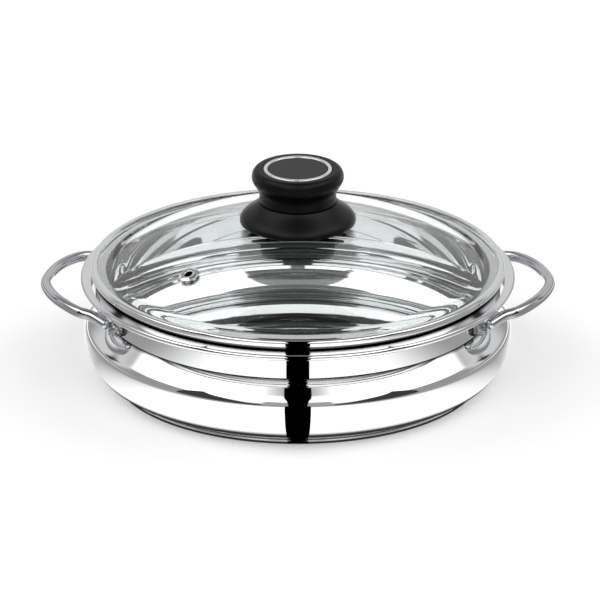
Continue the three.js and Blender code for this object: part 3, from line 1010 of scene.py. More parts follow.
@dataclass
class WireHandle:
    """A bent wire with a pad and a weld at each end; the half on the +Y side is mirrored to the other.

    The wire's bends are given as distances back from the grip and off the middle of the handle.
    """

    side: Side
    wire_diameter: float = 6.0
    nose: tuple[float, float] = (3.0, 15.2)
    elbow: tuple[float, float] = (9.5, 29.0)
    arm: tuple[float, float] = (18.3, 39.5)
    passing: tuple[float, float] = (24.2, 42.0)
    grip_drop: float = 5.0
    pass_drop: float = 6.6
    tip_lead: float = 0.5
    tip_standoff: float = 4.7
    tip_rise: float = 0.8
    pad_diameter: float = 10.2
    pad_thickness: float = 1.2
    pad_edge: float = 0.5
    pad_sink: float = 0.2
    weld_diameter: float = 9.4
    weld_height: float = 5.2
    weld_lump: float = 0.35
    steps: int = 120
    sides: int = 28
    end_sides: int = 64

    def route(self, rim_top: float) -> Array:
        """Middle line of the wire, tip to tip, from the same points as the CAD wire.

        Args:
            rim_top: height of the top of the pot's rim.

        Returns:
            The sampled line.
        """
        side = self.side.name.lower()
        low, high = box_mm(f"{side}_handle")
        grip_x = max(-low[0], high[0]) - self.wire_diameter / 2
        grip_z, pass_z = rim_top - self.grip_drop, rim_top - self.pass_drop
        pad = middle_mm(f"{side}_rear_pad") * [self.side.value, 1, 1]
        weld_foot = np.hypot(*pad[:2]) + self.pad_thickness / 2 + SEAT
        bearing = np.degrees(np.arctan2(pad[1], pad[0])) - self.tip_lead
        tip = heading(bearing)[:2] * (weld_foot + self.tip_standoff)
        half = np.array(
            [
                (grip_x - self.nose[0], self.nose[1], grip_z),
                (grip_x - self.elbow[0], self.elbow[1], grip_z),
                (grip_x - self.arm[0], self.arm[1], (grip_z + pass_z) / 2),
                (grip_x - self.passing[0], self.passing[1], pass_z),
                (*tip, pad[2] + self.tip_rise),
            ]
        )
        line = np.vstack([half[::-1] * [1, -1, 1], [(grip_x, 0.0, grip_z)], half])
        return through(line * [self.side.value, self.side.value, 1], self.steps)

    def pad(self) -> Surface:
        """The round pad, standing on z = 0 with a rounded rim."""
        radius = self.pad_diameter / 2
        profile = rounded(
            (0.0, -SEAT - self.pad_sink),
            (radius, -SEAT - self.pad_sink),
            (radius, self.pad_thickness, self.pad_edge),
            (0.0, self.pad_thickness),
        )
        return lathe(profile, self.end_sides)

    def weld(self) -> Surface:
        """A lumpy half-ellipsoid: each point of the dome is pushed out by three crossing sine waves.

        Returns:
            The weld, standing on z = 0.
        """
        rise = np.radians(np.linspace(0, 90, 25))[:, None]
        turn = np.linspace(0, 2 * np.pi, self.end_sides, endpoint=False)[None, :]
        lump = np.sin(5 * turn + 3 * rise) + np.sin(7 * turn - 8 * rise) + np.sin(3 * turn + 11 * rise)
        swell = 1 + self.weld_lump / self.weld_diameter * lump * np.cos(rise) * np.sin(2 * rise + 0.4)
        out = self.weld_diameter / 2 * np.cos(rise) * swell
        z = self.weld_height * np.sin(rise) * swell
        rings = np.stack([out * np.cos(turn), out * np.sin(turn), z], axis=-1)
        rings[-1] = [0.0, 0.0, self.weld_height]
        floor = np.zeros((1, turn.size, 3))
        return skin(np.concatenate([floor, rings]), closed=False)

    def build(self, shop: Workshop, rim_top: float) -> None:
        """Makes the wire and, at both ends, the pad on the neck and the weld on the pad.

        Args:
            shop: where the pieces are made.
            rim_top: height of the top of the pot's rim.
        """
        side = self.side.name.lower()
        rod = wire(self.route(rim_top), self.wire_diameter / 2, self.sides)
        shop.piece(f"{side}_handle", rod, WIRE, Body.POT)
        for end in ("front", "rear"):
            pad = middle_mm(f"{side}_{end}_pad")
            out = np.array([*pad[:2], 0.0]) / np.hypot(*pad[:2])
            foot = pad - out * self.pad_thickness / 2
            shop.piece(f"{side}_{end}_pad", self.pad().moved(foot, facing(out)), PAD_STEEL, Body.POT)
            face = pad + out * self.pad_thickness / 2
            shop.piece(f"{side}_{end}_weld", self.weld().moved(face, facing(out)), WELD, Body.POT)


@dataclass
class Lid:
    """Domed glass in a steel band, with a riveted steam vent."""

    glass: float = 3.5
    glass_inset: float = 2.0
    brim_width: float = 9.5
    dome_rise: float = 27.8
    knob_hole: float = 4.5
    foot_blend: float = 6.0
    sheet: float = 0.9
    lip: float = 3.5
    skirt_gap: float = 0.9
    waist: float = 2.7
    tuck: float = 2.3
    crown: float = 1.6
    seat_bend: float = 0.5
    waist_bend: float = 0.7
    skirt_bend: float = 0.9
    lip_over: float = 0.35
    lip_under: float = 0.15
    vent_hole: float = 2.2
    vent_wall: float = 1.0
    vent_flange: float = 2.4
    vent_flange_height: float = 1.3
    vent_collar: float = 2.0
    vent_collar_height: float = 1.0
    vent_crest: float = 0.6  # from the barrel out to the flange's highest ring
    vent_sink: float = 0.35  # how far the flange dips to its hole
    vent_side: float = 0.55  # share of the flange's height where its side turns in
    clearance: float = 0.4
    sides: int = 288
    vent_sides: int = 72
    drill_sides: int = 48

    def __post_init__(self) -> None:
        """Takes the lid's place and outer sizes from the CAD band and glass."""
        low, high = box_mm("lid_band")
        self.radius, self.band_top, self.skirt_foot = high[0], high[2], low[2]
        self.brim_top = self.band_top - self.sheet - SEAT
        self.brim_under = self.brim_top - self.glass
        self.seat = self.brim_under - SEAT - self.sheet
        self.dome_foot = self.radius - self.brim_width
        self.sphere = (self.dome_foot**2 + self.dome_rise**2) / (2 * self.dome_rise)
        self.centre = self.brim_top + self.dome_rise - self.sphere

    def height(self, sphere: float, r: float) -> float:
        """Height of a sphere about the dome's centre, over radius r."""
        return self.centre + math.sqrt(sphere**2 - r**2)

    def cap(self, sphere: float, foot: float) -> Array:
        """One face of the dome from the knob's hole to its foot: an arc of the sphere.

        Args:
            sphere: radius of the face.
            foot: radius where it meets the brim.

        Returns:
            Points from the hole outwards.
        """
        angle = np.linspace(math.asin(self.knob_hole / sphere), math.asin(foot / sphere), 60)
        return np.column_stack([sphere * np.sin(angle), self.centre + sphere * np.cos(angle)])

    def dome(self) -> Array:
        """Outline of the glass, with the hollow of the dome's foot eased over a few millimetres."""
        inner = self.sphere - self.glass
        inner_foot = math.sqrt(inner**2 - (self.brim_under - self.centre) ** 2)
        edge = self.radius - self.glass_inset - self.glass / 2
        under = outline(self.cap(inner, inner_foot), (edge, self.brim_under))
        over = outline(self.cap(self.sphere, self.dome_foot), (edge, self.brim_top))
        rim = arc(edge, self.brim_under + self.glass / 2, self.glass / 2, self.glass / 2, -90, 90)
        return np.vstack([self.eased(under), rim[1:-1], self.eased(over)[::-1]])

    def eased(self, run: Array) -> Array:
        """Rounds the corner where the dome meets the brim.

        The height becomes its mean over a sliding width that shrinks to nothing at both ends of the run.

        Args:
            run: one face of the glass from the hole to the edge, with r rising.

        Returns:
            The same run with its corner eased.
        """
        r, z = run.T
        reach = np.minimum(self.foot_blend / 2, np.minimum(r - r[0], r[-1] - r))
        share = np.linspace(-1, 1, 41)[:, None]
        return np.column_stack([r, np.interp(r + share * reach, r, z).mean(axis=0)])

    def band(self) -> Array:
        """Outline of the band: skirt inside the mouth, seat on the rim, tucked edge, crown and lip."""
        mouth = self.skirt_radius()
        inside = self.radius - self.sheet
        tuck = math.hypot(self.tuck, self.waist)
        inner_r = self.radius - self.tuck + self.sheet * (self.tuck - tuck) / self.waist
        inner_z = self.seat + (self.sheet * tuck + (self.tuck - self.sheet) * self.waist) / self.tuck
        return rounded(
            (mouth - self.sheet, self.skirt_foot, EDGE),
            (mouth, self.skirt_foot, EDGE),
            (mouth, self.seat, self.seat_bend),
            (self.radius - self.tuck, self.seat, self.seat_bend),
            (self.radius, self.seat + self.waist, self.waist_bend),
            (self.radius, self.band_top, self.crown),
            (self.radius - self.lip, self.band_top, self.lip_over),
            (self.radius - self.lip, self.band_top - self.sheet, self.lip_under),
            (inside, self.band_top - self.sheet, self.crown - self.sheet),
            (inside, inner_z, EDGE),
            (inner_r, self.seat + self.sheet, EDGE),
            (mouth - self.sheet, self.seat + self.sheet, self.skirt_bend),
            closed=True,
        )

    def skirt_radius(self) -> float:
        """Outside of the skirt, inside the pot's mouth."""
        shell = PotShell()
        return shell.neck - shell.wall - self.skirt_gap

    def vent_foot(self) -> tuple[Array, Array]:
        """Where the vent stands on the outside of the dome.

        The foot's radius is corrected a few times, until the line through the foot and square to the glass
        passes through the middle of the CAD eyelet.

        Returns:
            The foot, and the direction square to the glass there.
        """
        place = middle_mm("vent_eyelet")
        bearing = math.atan2(place[1], place[0])
        vent_r = np.hypot(*place[:2])
        for _ in range(3):
            normal = np.array([vent_r * math.cos(bearing), vent_r * math.sin(bearing), 0.0])
            normal[2] = self.height(self.sphere, vent_r) - self.centre
            foot = normal + [0.0, 0.0, self.centre]
            normal = normal / np.linalg.norm(normal)
            vent_r += np.hypot(*place[:2]) - np.hypot(*(foot + normal * ((place - foot) @ normal))[:2])
        return foot, normal

    def build(self, shop: Workshop) -> None:
        """Makes the glass with its vent hole, the band, and the vent's eyelet and collar, with painted shade in
        the band's tuck and the eyelet's bore.

        Args:
            shop: where the pieces are made.
        """
        foot, normal = self.vent_foot()
        turn = facing(normal)
        barrel = self.vent_hole + self.vent_wall
        hole = barrel + self.clearance
        drill_foot, drill_top = -3 * self.glass, 2 * self.glass
        glass = shop.piece("lid_glass", lathe(self.dome(), self.sides), GLASS, Body.LID)
        drill = rounded((0.0, drill_foot), (hole, drill_foot), (hole, drill_top), (0.0, drill_top))
        carve(glass, lathe(drill, self.drill_sides).moved(foot, turn))
        band = lathe(self.band(), self.sides)
        # painted shade under the band's tucked edge, above its seat on the rim
        band_r, band_z = np.hypot(*band.points[:, :2].T), band.points[:, 2] - self.seat
        band.dark = (band_r > self.radius - self.tuck - SEAT) & (band_z > 0) & (band_z < self.waist / 4)
        shop.piece("lid_band", band, MIRROR_STEEL, Body.LID)

        flange = barrel + self.vent_flange
        collar_top = -self.glass - SEAT
        collar_foot = collar_top - self.vent_collar_height
        top = SEAT + self.vent_flange_height
        eyelet = rounded(
            (self.vent_hole, collar_foot, EDGE),
            (barrel, collar_foot, EDGE),
            (barrel, 0.0, 0.1),
            (flange, 0.0, 0.3),
            (flange, top * self.vent_side, 0.4),
            (barrel + self.vent_crest, top, 0.9),
            (self.vent_hole, top - self.vent_sink, 0.6),
            closed=True,
        )
        punched = lathe(eyelet, self.vent_sides)
        # painted shade inside the vent's bore
        punched.dark = np.hypot(*punched.points[:, :2].T) < self.vent_hole + 0.1
        shop.piece("vent_eyelet", punched.moved(foot, turn), MIRROR_STEEL, Body.LID)
        inner = barrel + SEAT
        collar = rounded(
            (inner, collar_foot, EDGE),
            (inner + self.vent_collar, collar_foot, 0.4),
            (inner + self.vent_collar, collar_top, 0.3),
            (inner, collar_top, EDGE),
            closed=True,
        )
        turned = lathe(collar, self.vent_sides).moved(foot, turn)
        shop.piece("vent_collar", turned, MIRROR_STEEL, Body.LID)


@dataclass
class Knob:
    """A moulded bell on the glass and, on it, a grip with a bright ring and a dark disc let into its top."""

    bell_wall: float = 2.0
    bell_shelf: float = 20.8
    bell_edge: float = 0.9
    bell_brow: float = 3.5
    bell_round: float = 0.4
    flank_reach: float = 3.2
    flank_drop: float = 4.2
    boss: float = 11.5
    bore: float = 2.5
    neck_rise: float = 4.0
    cap_flare: float = 4.1
    cap_rise: float = 9.6
    cap_crown: float = 4.4
    cap_margin: float = 2.4
    ring_width: float = 2.4
    ring_height: float = 1.6
    ring_crease: float = 0.1
    ring_round: float = 0.8
    disc_edge: float = 0.25
    insert_wall: float = 2.4
    seam: float = 0.5
    sides: int = 160

    def build(self, shop: Workshop) -> None:
        """Makes the bell, the grip, the ring and the disc, and dresses the insert hidden in the grip.

        Args:
            shop: where the pieces are made.
        """
        self.build_bell(shop)
        self.build_grip(shop)
        self.build_inlay(shop)
        shop.dress("knob_insert", BRASS)

    def build_bell(self, shop: Workshop) -> None:
        """Turns the bell: a flank that is hollow above and rounded below, the same inside, and a boss.

        Args:
            shop: where the piece is made.
        """
        low, high = box_mm("knob_skirt")
        foot, top, edge = low[2], high[2], high[0]
        boss_foot = box_mm("upper_gasket")[1][2] + SEAT
        edge_top = foot + self.bell_edge
        wall = self.bell_wall

        def flank(inset: float) -> Array:
            """One face of the flank, from the shelf down to the edge."""
            return bezier(
                (self.bell_shelf - inset, top - inset),
                (self.bell_shelf + self.flank_reach - inset, top - self.flank_drop - inset),
                (edge - inset, edge_top + self.bell_brow - inset),
                (edge - inset, edge_top),
            )

        profile = outline(
            (self.bore, boss_foot),
            (self.boss, boss_foot),
            (self.boss, top - wall),
            flank(wall),
            (edge - wall, foot),
            arc(edge - self.bell_round, foot + self.bell_round, self.bell_round, self.bell_round, -90, 0),
            flank(0.0)[::-1],
            (self.bore, top),
            (self.bore, boss_foot),
        )[:-1]
        shop.piece("knob_skirt", lathe(profile, self.sides), BAKELITE, Body.LID)

    def build_grip(self, shop: Workshop) -> None:
        """Turns the grip: its side swells as half a cosine wave up to the cap, under an elliptical crown.

        Args:
            shop: where the piece is made.
        """
        low, high = box_mm("knob_grip")
        foot, top, cap = low[2], high[2], high[0]
        neck = cap - self.cap_flare
        ring = box_mm("knob_ring")[1][0]
        insert_top = box_mm("knob_insert")[1][2]
        pocket = self.bore + self.insert_wall + SEAT
        neck_top = foot + self.neck_rise
        share = np.linspace(0, 1, 30)
        flare = np.column_stack(
            [neck + self.cap_flare * (1 - np.cos(np.pi * share)) / 2, neck_top + self.cap_rise * share]
        )
        crown = ring + SEAT + self.cap_margin
        cap_z = neck_top + self.cap_rise
        recess = top - self.ring_height
        profile = outline(
            (0.0, insert_top + SEAT),
            (pocket, insert_top + SEAT),
            (pocket, foot),
            arc(neck - self.seam, foot + self.seam, self.seam, self.seam, -90, 0),
            flare,
            arc(crown, cap_z, cap - crown, self.cap_crown, 0, 90),
            (ring + SEAT, top),
            (ring + SEAT, recess),
            (0.0, recess),
        )
        shop.piece("knob_grip", lathe(profile, self.sides), BAKELITE, Body.LID)

    def build_inlay(self, shop: Workshop) -> None:
        """Turns the bright ring, with a rounded top, and the disc inside it.

        Args:
            shop: where the pieces are made.
        """
        low, high = box_mm("knob_ring")
        inner = high[0] - self.ring_width
        ring = rounded(
            (inner, low[2], self.ring_crease),
            (high[0], low[2], self.ring_crease),
            (high[0], high[2], self.ring_round),
            (inner, high[2], self.ring_round),
            closed=True,
        )
        shop.piece("knob_ring", lathe(ring, self.sides), RING_STEEL, Body.LID)
        low, high = box_mm("knob_disc")
        edge = (high[0], high[2], self.disc_edge)
        disc = rounded((0.0, low[2]), (high[0], low[2]), edge, (0.0, high[2]))
        shop.piece("knob_disc", lathe(disc, self.sides), DARK_PLATE, Body.LID)


@dataclass
class Fastening:
    """What holds the knob to the glass: a screw from inside, a washer and two gaskets."""

    bore: float = 2.5
    head_height: float = 2.6
    shank: float = 2.1
    cross_width: float = 1.1
    cross_length: float = 4.6
    cross_depth: float = 1.4
    cross_taper: float = 0.6
    cross_start: float = -1.0
    gasket_edge: float = 0.3
    washer_edge: float = 0.25
    head_round: float = 1.4
    tip_round: float = 0.6
    sides: int = 96

    def ring(self, node: str, edge: float) -> Surface:
        """A flat ring in a CAD node's place, with rounded edges.

        Args:
            node: the CAD node.
            edge: radius of its rounded edges.

        Returns:
            The ring's surface.
        """
        low, high = box_mm(node)
        corners = [(self.bore, low[2]), (high[0], low[2]), (high[0], high[2]), (self.bore, high[2])]
        return lathe(rounded(*[(r, z, edge) for r, z in corners], closed=True), self.sides)

    def build(self, shop: Workshop) -> None:
        """Makes the gaskets, the washer and the screw with a cross recess in its head.

        Args:
            shop: where the pieces are made.
        """
        shop.piece("upper_gasket", self.ring("upper_gasket", self.gasket_edge), SILICONE, Body.LID)
        shop.piece("lower_gasket", self.ring("lower_gasket", self.gasket_edge), SILICONE, Body.LID)
        shop.piece("knob_washer", self.ring("knob_washer", self.washer_edge), BASE_STEEL, Body.LID)
        low, high = box_mm("knob_screw")
        head = low[2] + self.head_height
        profile = rounded(
            (0.0, low[2]),
            (high[0], low[2], self.head_round),
            (high[0], head, EDGE),
            (self.shank, head, EDGE),
            (self.shank, high[2], self.tip_round),
            (0.0, high[2]),
        )
        screw = shop.piece("knob_screw", lathe(profile, self.sides), BASE_STEEL, Body.LID)
        for turn in (0.0, 90.0):
            carve(screw, self.blade(turn).moved((0.0, 0.0, low[2])))

    def blade(self, turn: float) -> Surface:
        """One blade of the cross recess: a bar that narrows upwards from below the head.

        Args:
            turn: which way it lies.

        Returns:
            The bar, through z = 0.
        """
        z = np.array([self.cross_start, self.cross_start, self.cross_depth, self.cross_depth])
        share = np.array([0.0, 1.0, self.cross_taper, 0.0])
        half_sizes = [self.cross_length / 2, self.cross_width / 2]
        corner = np.array([(1, 1), (-1, 1), (-1, -1), (1, -1)]) * half_sizes
        a = math.radians(turn)
        flat = corner @ np.array([[math.cos(a), math.sin(a)], [-math.sin(a), math.cos(a)]])
        level = flat[None] * share[:, None, None]
        rings = np.concatenate([level, np.broadcast_to(z[:, None, None], (4, 4, 1))], axis=2)
        return skin(rings, closed=False)


# Studio


class Seen(Enum):
    """Which mirror images show a panel: those on the pot's outside or those under the glass lid."""

    OUTSIDE = "outside"
    INSIDE = "inside"
    INSIDE_TWICE = "inside, by way of two mirrors or more"
    INSIDE_THRICE = "inside, by way of three mirrors or more"


@dataclass(frozen=True)
class Panel:
    """A patch of the studio's light, the same on both sides: azimuth from the camera, elevation, brightness.

    A leaning panel's elevations rise by lean degrees for each degree of azimuth from its middle.
    """

    azimuth: tuple[float, float]
    elevation: tuple[float, float]
    brightness: float
    seen: Seen
    soft: float = 2.0
    lean: float = 0.0


@dataclass
class Studio:
    """Pale floor, a white tent of soft panels with an opening for the camera, and the camera.

    In mirrors the floor glows with a painted pool of light before and behind the pot, a painted shadow round
    the pot's foot, a dark gap that runs towards the camera and a painted bright far end. A later panel covers
    the earlier ones.
    """

    photo_size: float = 600.0
    pixels_per_mm: float = 1.882
    axis_column: float = 297.8
    aim_height: float = 42.5
    elevation: float = 22.0
    distance: float = 9000.0
    sensor: float = 36.0
    floor_size: float = 30000.0
    floor_drop: float = 0.2
    floor_colour: str = "#f4f4f4"
    floor_glow: float = 0.34
    gap: float = 0.088  # half the width of the tent's opening, as a share of the distance
    gap_soft: float = 0.05  # how soft its edges are, as a share of its width
    gap_end: float = 0.05
    gap_foot: float = 7.6  # half the width of its image on the floor, below the rim
    gap_slope: float = 0.118
    pool: tuple[float, float] = (135.0, 150.0)  # half-axes of a pool of light
    pool_ahead: float = 150.0  # from the pot's axis to its middle
    pool_fade: tuple[float, float] = (0.9, 1.6)
    pool_light: float = 1.25
    pool_edge: float = 0.36
    far: tuple[float, float] = (260.0, 380.0)  # where the floor behind the pot turns bright
    far_light: float = 1.2
    shade: tuple[float, float] = (103.0, 109.0)  # edge of the painted shadow round the pot's foot, in mirrors
    shade_light: float = 0.03
    walls: float = 0.34
    panels: tuple[Panel, ...] = (
        Panel((108.0, 190.0), (10.0, 34.0), 0.68, Seen.OUTSIDE, 6.0),
        Panel((120.0, 190.0), (34.0, 62.0), 0.32, Seen.OUTSIDE, 6.0),
        Panel((-10.0, 114.0), (33.0, 66.0), 1.8, Seen.OUTSIDE, 3.0),
        Panel((118.0, 126.0), (12.0, 26.0), 0.05, Seen.OUTSIDE, 2.5),
        Panel((18.0, 46.0), (15.0, 34.0), 1.2, Seen.OUTSIDE),
        Panel((-10.0, 18.0), (6.0, 33.0), 0.4, Seen.OUTSIDE, 3.0),
        Panel((19.0, 66.0), (-60.0, 29.0), 0.05, Seen.OUTSIDE, 1.0, 0.9),
        Panel((-10.0, 190.0), (67.0, 100.0), 0.2, Seen.OUTSIDE, 3.0),
        Panel((104.0, 190.0), (5.0, 62.0), 1.2, Seen.INSIDE, 4.0),
        Panel((148.0, 190.0), (5.0, 36.0), 0.65, Seen.INSIDE, 3.0),
        Panel((29.0, 108.0), (-2.0, 68.0), 1.8, Seen.INSIDE),
        Panel((-10.0, 29.0), (2.0, 48.0), 0.14, Seen.INSIDE),
        Panel((4.0, 29.0), (-5.0, 20.0), 1.6, Seen.INSIDE, 1.0),
        Panel((-10.0, 29.0), (20.0, 24.0), 0.02, Seen.INSIDE, 1.0),
        Panel((-10.0, 29.0), (48.0, 66.0), 0.26, Seen.INSIDE),
        Panel((-10.0, 190.0), (68.0, 100.0), 0.1, Seen.INSIDE),
        Panel((-10.0, 34.0), (0.0, 29.0), 0.05, Seen.INSIDE_TWICE),
        Panel((40.0, 56.0), (0.0, 44.0), 0.05, Seen.INSIDE_TWICE),
        Panel((-10.0, 44.0), (28.0, 46.0), 0.05, Seen.INSIDE_TWICE),
        Panel((-10.0, 40.0), (47.0, 76.0), 1.5, Seen.INSIDE_TWICE),
        Panel((40.0, 140.0), (56.0, 86.0), 1.6, Seen.INSIDE_TWICE, 4.0),
        Panel((138.0, 190.0), (38.0, 80.0), 0.02, Seen.INSIDE_TWICE),
        Panel((100.0, 164.0), (-8.0, 36.0), 1.6, Seen.INSIDE_TWICE),
        Panel((164.0, 190.0), (-5.0, 36.0), 0.03, Seen.INSIDE_TWICE),
        Panel((-10.0, 190.0), (-95.0, 100.0), 0.3, Seen.INSIDE_THRICE),
        Panel((30.0, 112.0), (-95.0, 100.0), 1.6, Seen.INSIDE_THRICE, 4.0),
        Panel((-10.0, 40.0), (48.0, 72.0), 0.08, Seen.INSIDE_THRICE),
        Panel((-10.0, 22.0), (-5.0, 30.0), 0.12, Seen.INSIDE_THRICE),
        Panel((-10.0, 30.0), (31.0, 48.0), 1.1, Seen.INSIDE_THRICE),
        Panel((140.0, 190.0), (-5.0, 90.0), 0.12, Seen.INSIDE_THRICE),
    )

    def build(self) -> None:
        """Makes the camera, the world's light and the floor."""
        scene = bpy.context.scene
        scene.view_settings.view_transform = "Standard"
        self.build_camera(scene)
        self.build_tent(scene)
        self.build_floor(scene)

    def build_camera(self, scene: bpy.types.Scene) -> None:
        """A far camera with a long lens, so that the picture is almost parallel, as the photograph is.

        Args:
            scene: the scene that gets the camera.
        """
        data = bpy.data.cameras.new("camera")
        data.sensor_width = self.sensor
        data.lens = self.sensor * self.pixels_per_mm * self.distance / self.photo_size
        data.shift_x = (self.photo_size / 2 - self.axis_column) / self.photo_size
        data.clip_end = 100.0
        camera = bpy.data.objects.new("camera", data)
        scene.collection.objects.link(camera)
        rise = math.radians(self.elevation)
        back = Vector((0.0, -math.cos(rise), math.sin(rise)))
        camera.location = Vector((0.0, 0.0, self.aim_height * MM)) + back * self.distance * MM
        camera.rotation_euler = (-back).to_track_quat("-Z", "Y").to_euler()
        scene.camera = camera

    def seen_straight(self, tree: bpy.types.NodeTree) -> bpy.types.NodeSocket:
        """1 for what the camera sees directly or only through glass, and 0 for light and mirror images.

        Args:
            tree: the tree that asks.

        Returns:
            The socket that carries it.
        """
        path = add_node(tree, "ShaderNodeLightPath")
        unmirrored = add_node(tree, MATH, {0: path.outputs["Glossy Depth"], 1: 0.5}, operation="LESS_THAN")
        through_glass = add_node(
            tree, MATH, {0: path.outputs["Is Transmission Ray"], 1: unmirrored}, operation="MULTIPLY"
        )
        either = add_node(
            tree, MATH, {0: path.outputs["Is Camera Ray"], 1: through_glass}, operation="MAXIMUM"
        )
        return either.outputs[0]

    def build_tent(self, scene: bpy.types.Scene) -> None:
        """Lights the scene by direction: white panels round the pot, dark between them, white to the eye.

        Args:
            scene: the scene that gets the world.
        """
        world = bpy.data.worlds.new("tent")
        scene.world = world
        world.use_nodes = True
        tree = world.node_tree
        tree.nodes.clear()
        direction = add_node(tree, "ShaderNodeTexCoord").outputs["Generated"]
        x, y, z = add_node(tree, "ShaderNodeSeparateXYZ", {0: direction}).outputs
        ahead = add_node(tree, MATH, {0: y, 1: -1.0}, operation="MULTIPLY")
        bearing = add_node(tree, MATH, {0: x, 1: ahead}, operation="ARCTAN2")
        azimuth = add_node(tree, MATH, {0: bearing}, operation="ABSOLUTE")
        elevation = add_node(tree, MATH, {0: z}, operation="ARCSINE")
        path = add_node(tree, "ShaderNodeLightPath")
        mirrors = path.outputs["Glossy Depth"]
        twice = add_node(tree, MATH, {0: mirrors, 1: 1.5}, operation="GREATER_THAN")
        thrice = add_node(tree, MATH, {0: mirrors, 1: 2.5}, operation="GREATER_THAN")
        panes = path.outputs["Transmission Depth"]
        covered = add_node(tree, MATH, {0: panes, 1: 0.5}, operation="GREATER_THAN")
        mask = {
            Seen.OUTSIDE: add_node(tree, MATH, {0: 1.0, 1: covered}, operation="SUBTRACT"),
            Seen.INSIDE: covered,
            Seen.INSIDE_TWICE: add_node(tree, MATH, {0: covered, 1: twice}, operation="MULTIPLY"),
            Seen.INSIDE_THRICE: add_node(tree, MATH, {0: covered, 1: thrice}, operation="MULTIPLY"),
        }
        light: Any = self.walls
        for panel in self.panels:
            inside = mask[panel.seen]
            middle = math.radians(sum(panel.azimuth) / 2)
            offset = add_node(tree, MATH, {0: azimuth, 1: middle}, operation="SUBTRACT")
            height = add_node(tree, MATH, {0: offset, 1: -panel.lean, 2: elevation}, operation="MULTIPLY_ADD")
            for value, limits in ((azimuth, panel.azimuth), (height, panel.elevation)):
                for limit, (before, after) in zip(limits, ((0.0, 1.0), (1.0, 0.0))):
                    edge = add_node(
                        tree,
                        "ShaderNodeMapRange",
                        {
                            "Value": value,
                            "From Min": math.radians(limit - panel.soft),
                            "From Max": math.radians(limit + panel.soft),
                            "To Min": before,
                            "To Max": after,
                        },
                        interpolation_type="SMOOTHSTEP",
                    )
                    inside = add_node(tree, MATH, {0: inside, 1: edge}, operation="MULTIPLY")
            light = add_node(
                tree, "ShaderNodeMix", {0: inside, 2: light, 3: panel.brightness}, data_type="FLOAT"
            )
        aside = add_node(tree, MATH, {0: x}, operation="ABSOLUTE")
        beside = add_node(
            tree,
            "ShaderNodeMapRange",
            {
                "Value": aside,
                "From Min": self.gap * (1 - self.gap_soft),
                "From Max": self.gap * (1 + self.gap_soft),
            },
            interpolation_type="SMOOTHSTEP",
        )
        behind = add_node(
            tree,
            "ShaderNodeMapRange",
            {
                "Value": ahead,
                "From Min": -self.gap_end,
                "From Max": self.gap_end,
                "To Min": 1.0,
                "To Max": 0.0,
            },
            interpolation_type="SMOOTHSTEP",
        )
        clear = add_node(tree, MATH, {0: beside, 1: behind}, operation="MAXIMUM")
        clear = add_node(tree, MATH, {0: clear, 1: covered}, operation="MAXIMUM")
        light = add_node(tree, MATH, {0: light, 1: clear}, operation="MULTIPLY")
        white = add_node(
            tree, "ShaderNodeMix", {0: self.seen_straight(tree), 2: light, 3: 1.0}, data_type="FLOAT"
        )
        sky = add_node(tree, "ShaderNodeBackground", {"Color": (1.0, 1.0, 1.0, 1.0), "Strength": white})
        add_node(tree, "ShaderNodeOutputWorld", {"Surface": sky})

    def build_floor(self, scene: bpy.types.Scene) -> None:
        """A plain pale floor that keeps the shadow, and that glows by itself in mirrors.

        Args:
            scene: the scene that gets the floor.
        """
        half = self.floor_size / 2 * MM
        drop = -self.floor_drop * MM
        mesh = bpy.data.meshes.new("floor")
        corners = [(-half, -half, drop), (half, -half, drop), (half, half, drop), (-half, half, drop)]
        mesh.from_pydata(corners, [], [(0, 1, 2, 3)])
        floor = bpy.data.objects.new("floor", mesh)
        scene.collection.objects.link(floor)
        material = bpy.data.materials.new("pale_floor")
        material.use_nodes = True
        mesh.materials.append(material)
        tree = material.node_tree
        tree.nodes.clear()
        place = add_node(tree, "ShaderNodeTexCoord").outputs["Object"]
        x, y, _ = add_node(tree, "ShaderNodeSeparateXYZ", {0: place}).outputs
        ahead = add_node(tree, MATH, {0: y, 1: -1.0}, operation="MULTIPLY")

        rim = box_mm("pot_body")[1][0] * MM
        past_rim = add_node(tree, MATH, {0: ahead, 1: rim}, operation="SUBTRACT")
        width = add_node(
            tree, MATH, {0: past_rim, 1: self.gap_slope, 2: self.gap_foot * MM}, operation="MULTIPLY_ADD"
        )
        aside = add_node(tree, MATH, {0: x}, operation="ABSOLUTE")
        wedge = add_node(tree, MATH, {0: aside, 1: width}, operation="LESS_THAN")

        level = add_node(tree, "ShaderNodeCombineXYZ", {0: x, 1: y})
        from_axis = add_node(tree, "ShaderNodeVectorMath", {0: level}, operation="LENGTH")
        # painted shadow: in mirrors the floor goes dark round the pot's foot, under its belly
        clear = add_node(
            tree,
            "ShaderNodeMapRange",
            {
                "Value": from_axis.outputs["Value"],
                "From Min": self.shade[0] * MM,
                "From Max": self.shade[1] * MM,
                "To Min": self.shade_light,
                "To Max": 1.0,
            },
            interpolation_type="SMOOTHSTEP",
        )
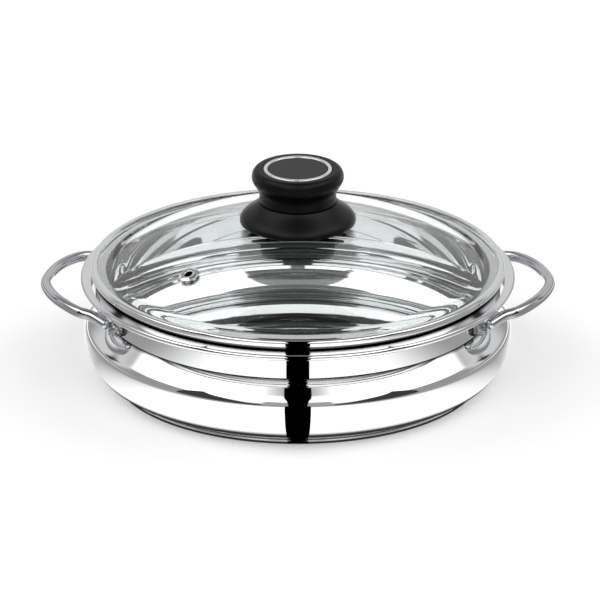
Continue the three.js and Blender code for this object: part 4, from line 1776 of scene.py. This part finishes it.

        # painted pool of light in the floor's mirror image, before and behind the pot
        across = add_node(tree, MATH, {0: x, 1: self.pool[0] * MM}, operation="DIVIDE")
        reach = add_node(tree, MATH, {0: y}, operation="ABSOLUTE")
        off = add_node(tree, MATH, {0: reach, 1: self.pool_ahead * MM}, operation="SUBTRACT")
        along = add_node(tree, MATH, {0: off, 1: self.pool[1] * MM}, operation="DIVIDE")
        spot = add_node(tree, "ShaderNodeCombineXYZ", {0: across, 1: along})
        from_pool = add_node(tree, "ShaderNodeVectorMath", {0: spot}, operation="LENGTH")
        pool = add_node(
            tree,
            "ShaderNodeMapRange",
            {
                "Value": from_pool.outputs["Value"],
                "From Min": self.pool_fade[0],
                "From Max": self.pool_fade[1],
                "To Min": self.pool_light,
                "To Max": self.pool_edge,
            },
            interpolation_type="SMOOTHSTEP",
        )
        far = add_node(
            tree,
            "ShaderNodeMapRange",
            {
                "Value": y,
                "From Min": self.far[0] * MM,
                "From Max": self.far[1] * MM,
                "To Max": self.far_light,
            },
        )

        lit = add_node(tree, MATH, {0: pool, 1: far}, operation="MAXIMUM")
        outside_gap = add_node(tree, MATH, {0: 1.0, 1: wedge}, operation="SUBTRACT")
        open_floor = add_node(tree, MATH, {0: clear, 1: outside_gap}, operation="MULTIPLY")
        image = add_node(tree, MATH, {0: lit, 1: open_floor}, operation="MULTIPLY")
        glance = add_node(tree, "ShaderNodeEmission", {"Strength": image})

        direct = add_node(tree, MATH, {0: self.seen_straight(tree), 1: self.floor_glow}, operation="MULTIPLY")
        glow = add_node(tree, "ShaderNodeEmission", {"Strength": direct})
        matt = add_node(tree, "ShaderNodeBsdfDiffuse", {"Color": linear(self.floor_colour)})
        seen = add_node(tree, "ShaderNodeAddShader", {0: matt, 1: glow})
        path = add_node(tree, "ShaderNodeLightPath")
        mirrored = add_node(tree, MATH, {0: path.outputs["Glossy Depth"], 1: 0.5}, operation="GREATER_THAN")
        both = add_node(tree, "ShaderNodeMixShader", {0: mirrored, 1: seen, 2: glance})
        add_node(tree, "ShaderNodeOutputMaterial", {"Surface": both})


def main() -> None:
    """Builds the studio and every sub-assembly round the frame."""
    logging.basicConfig(level=logging.INFO, format="%(name)s: %(message)s")
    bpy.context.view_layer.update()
    Studio().build()
    shop = Workshop()
    shell = PotShell()
    shell.build(shop)
    Base().build(shop)
    for side in Side:
        WireHandle(side).build(shop, shell.rim_top)
    Lid().build(shop)
    Knob().build(shop)
    Fastening().build(shop)


if __name__ == "__main__":
    main()
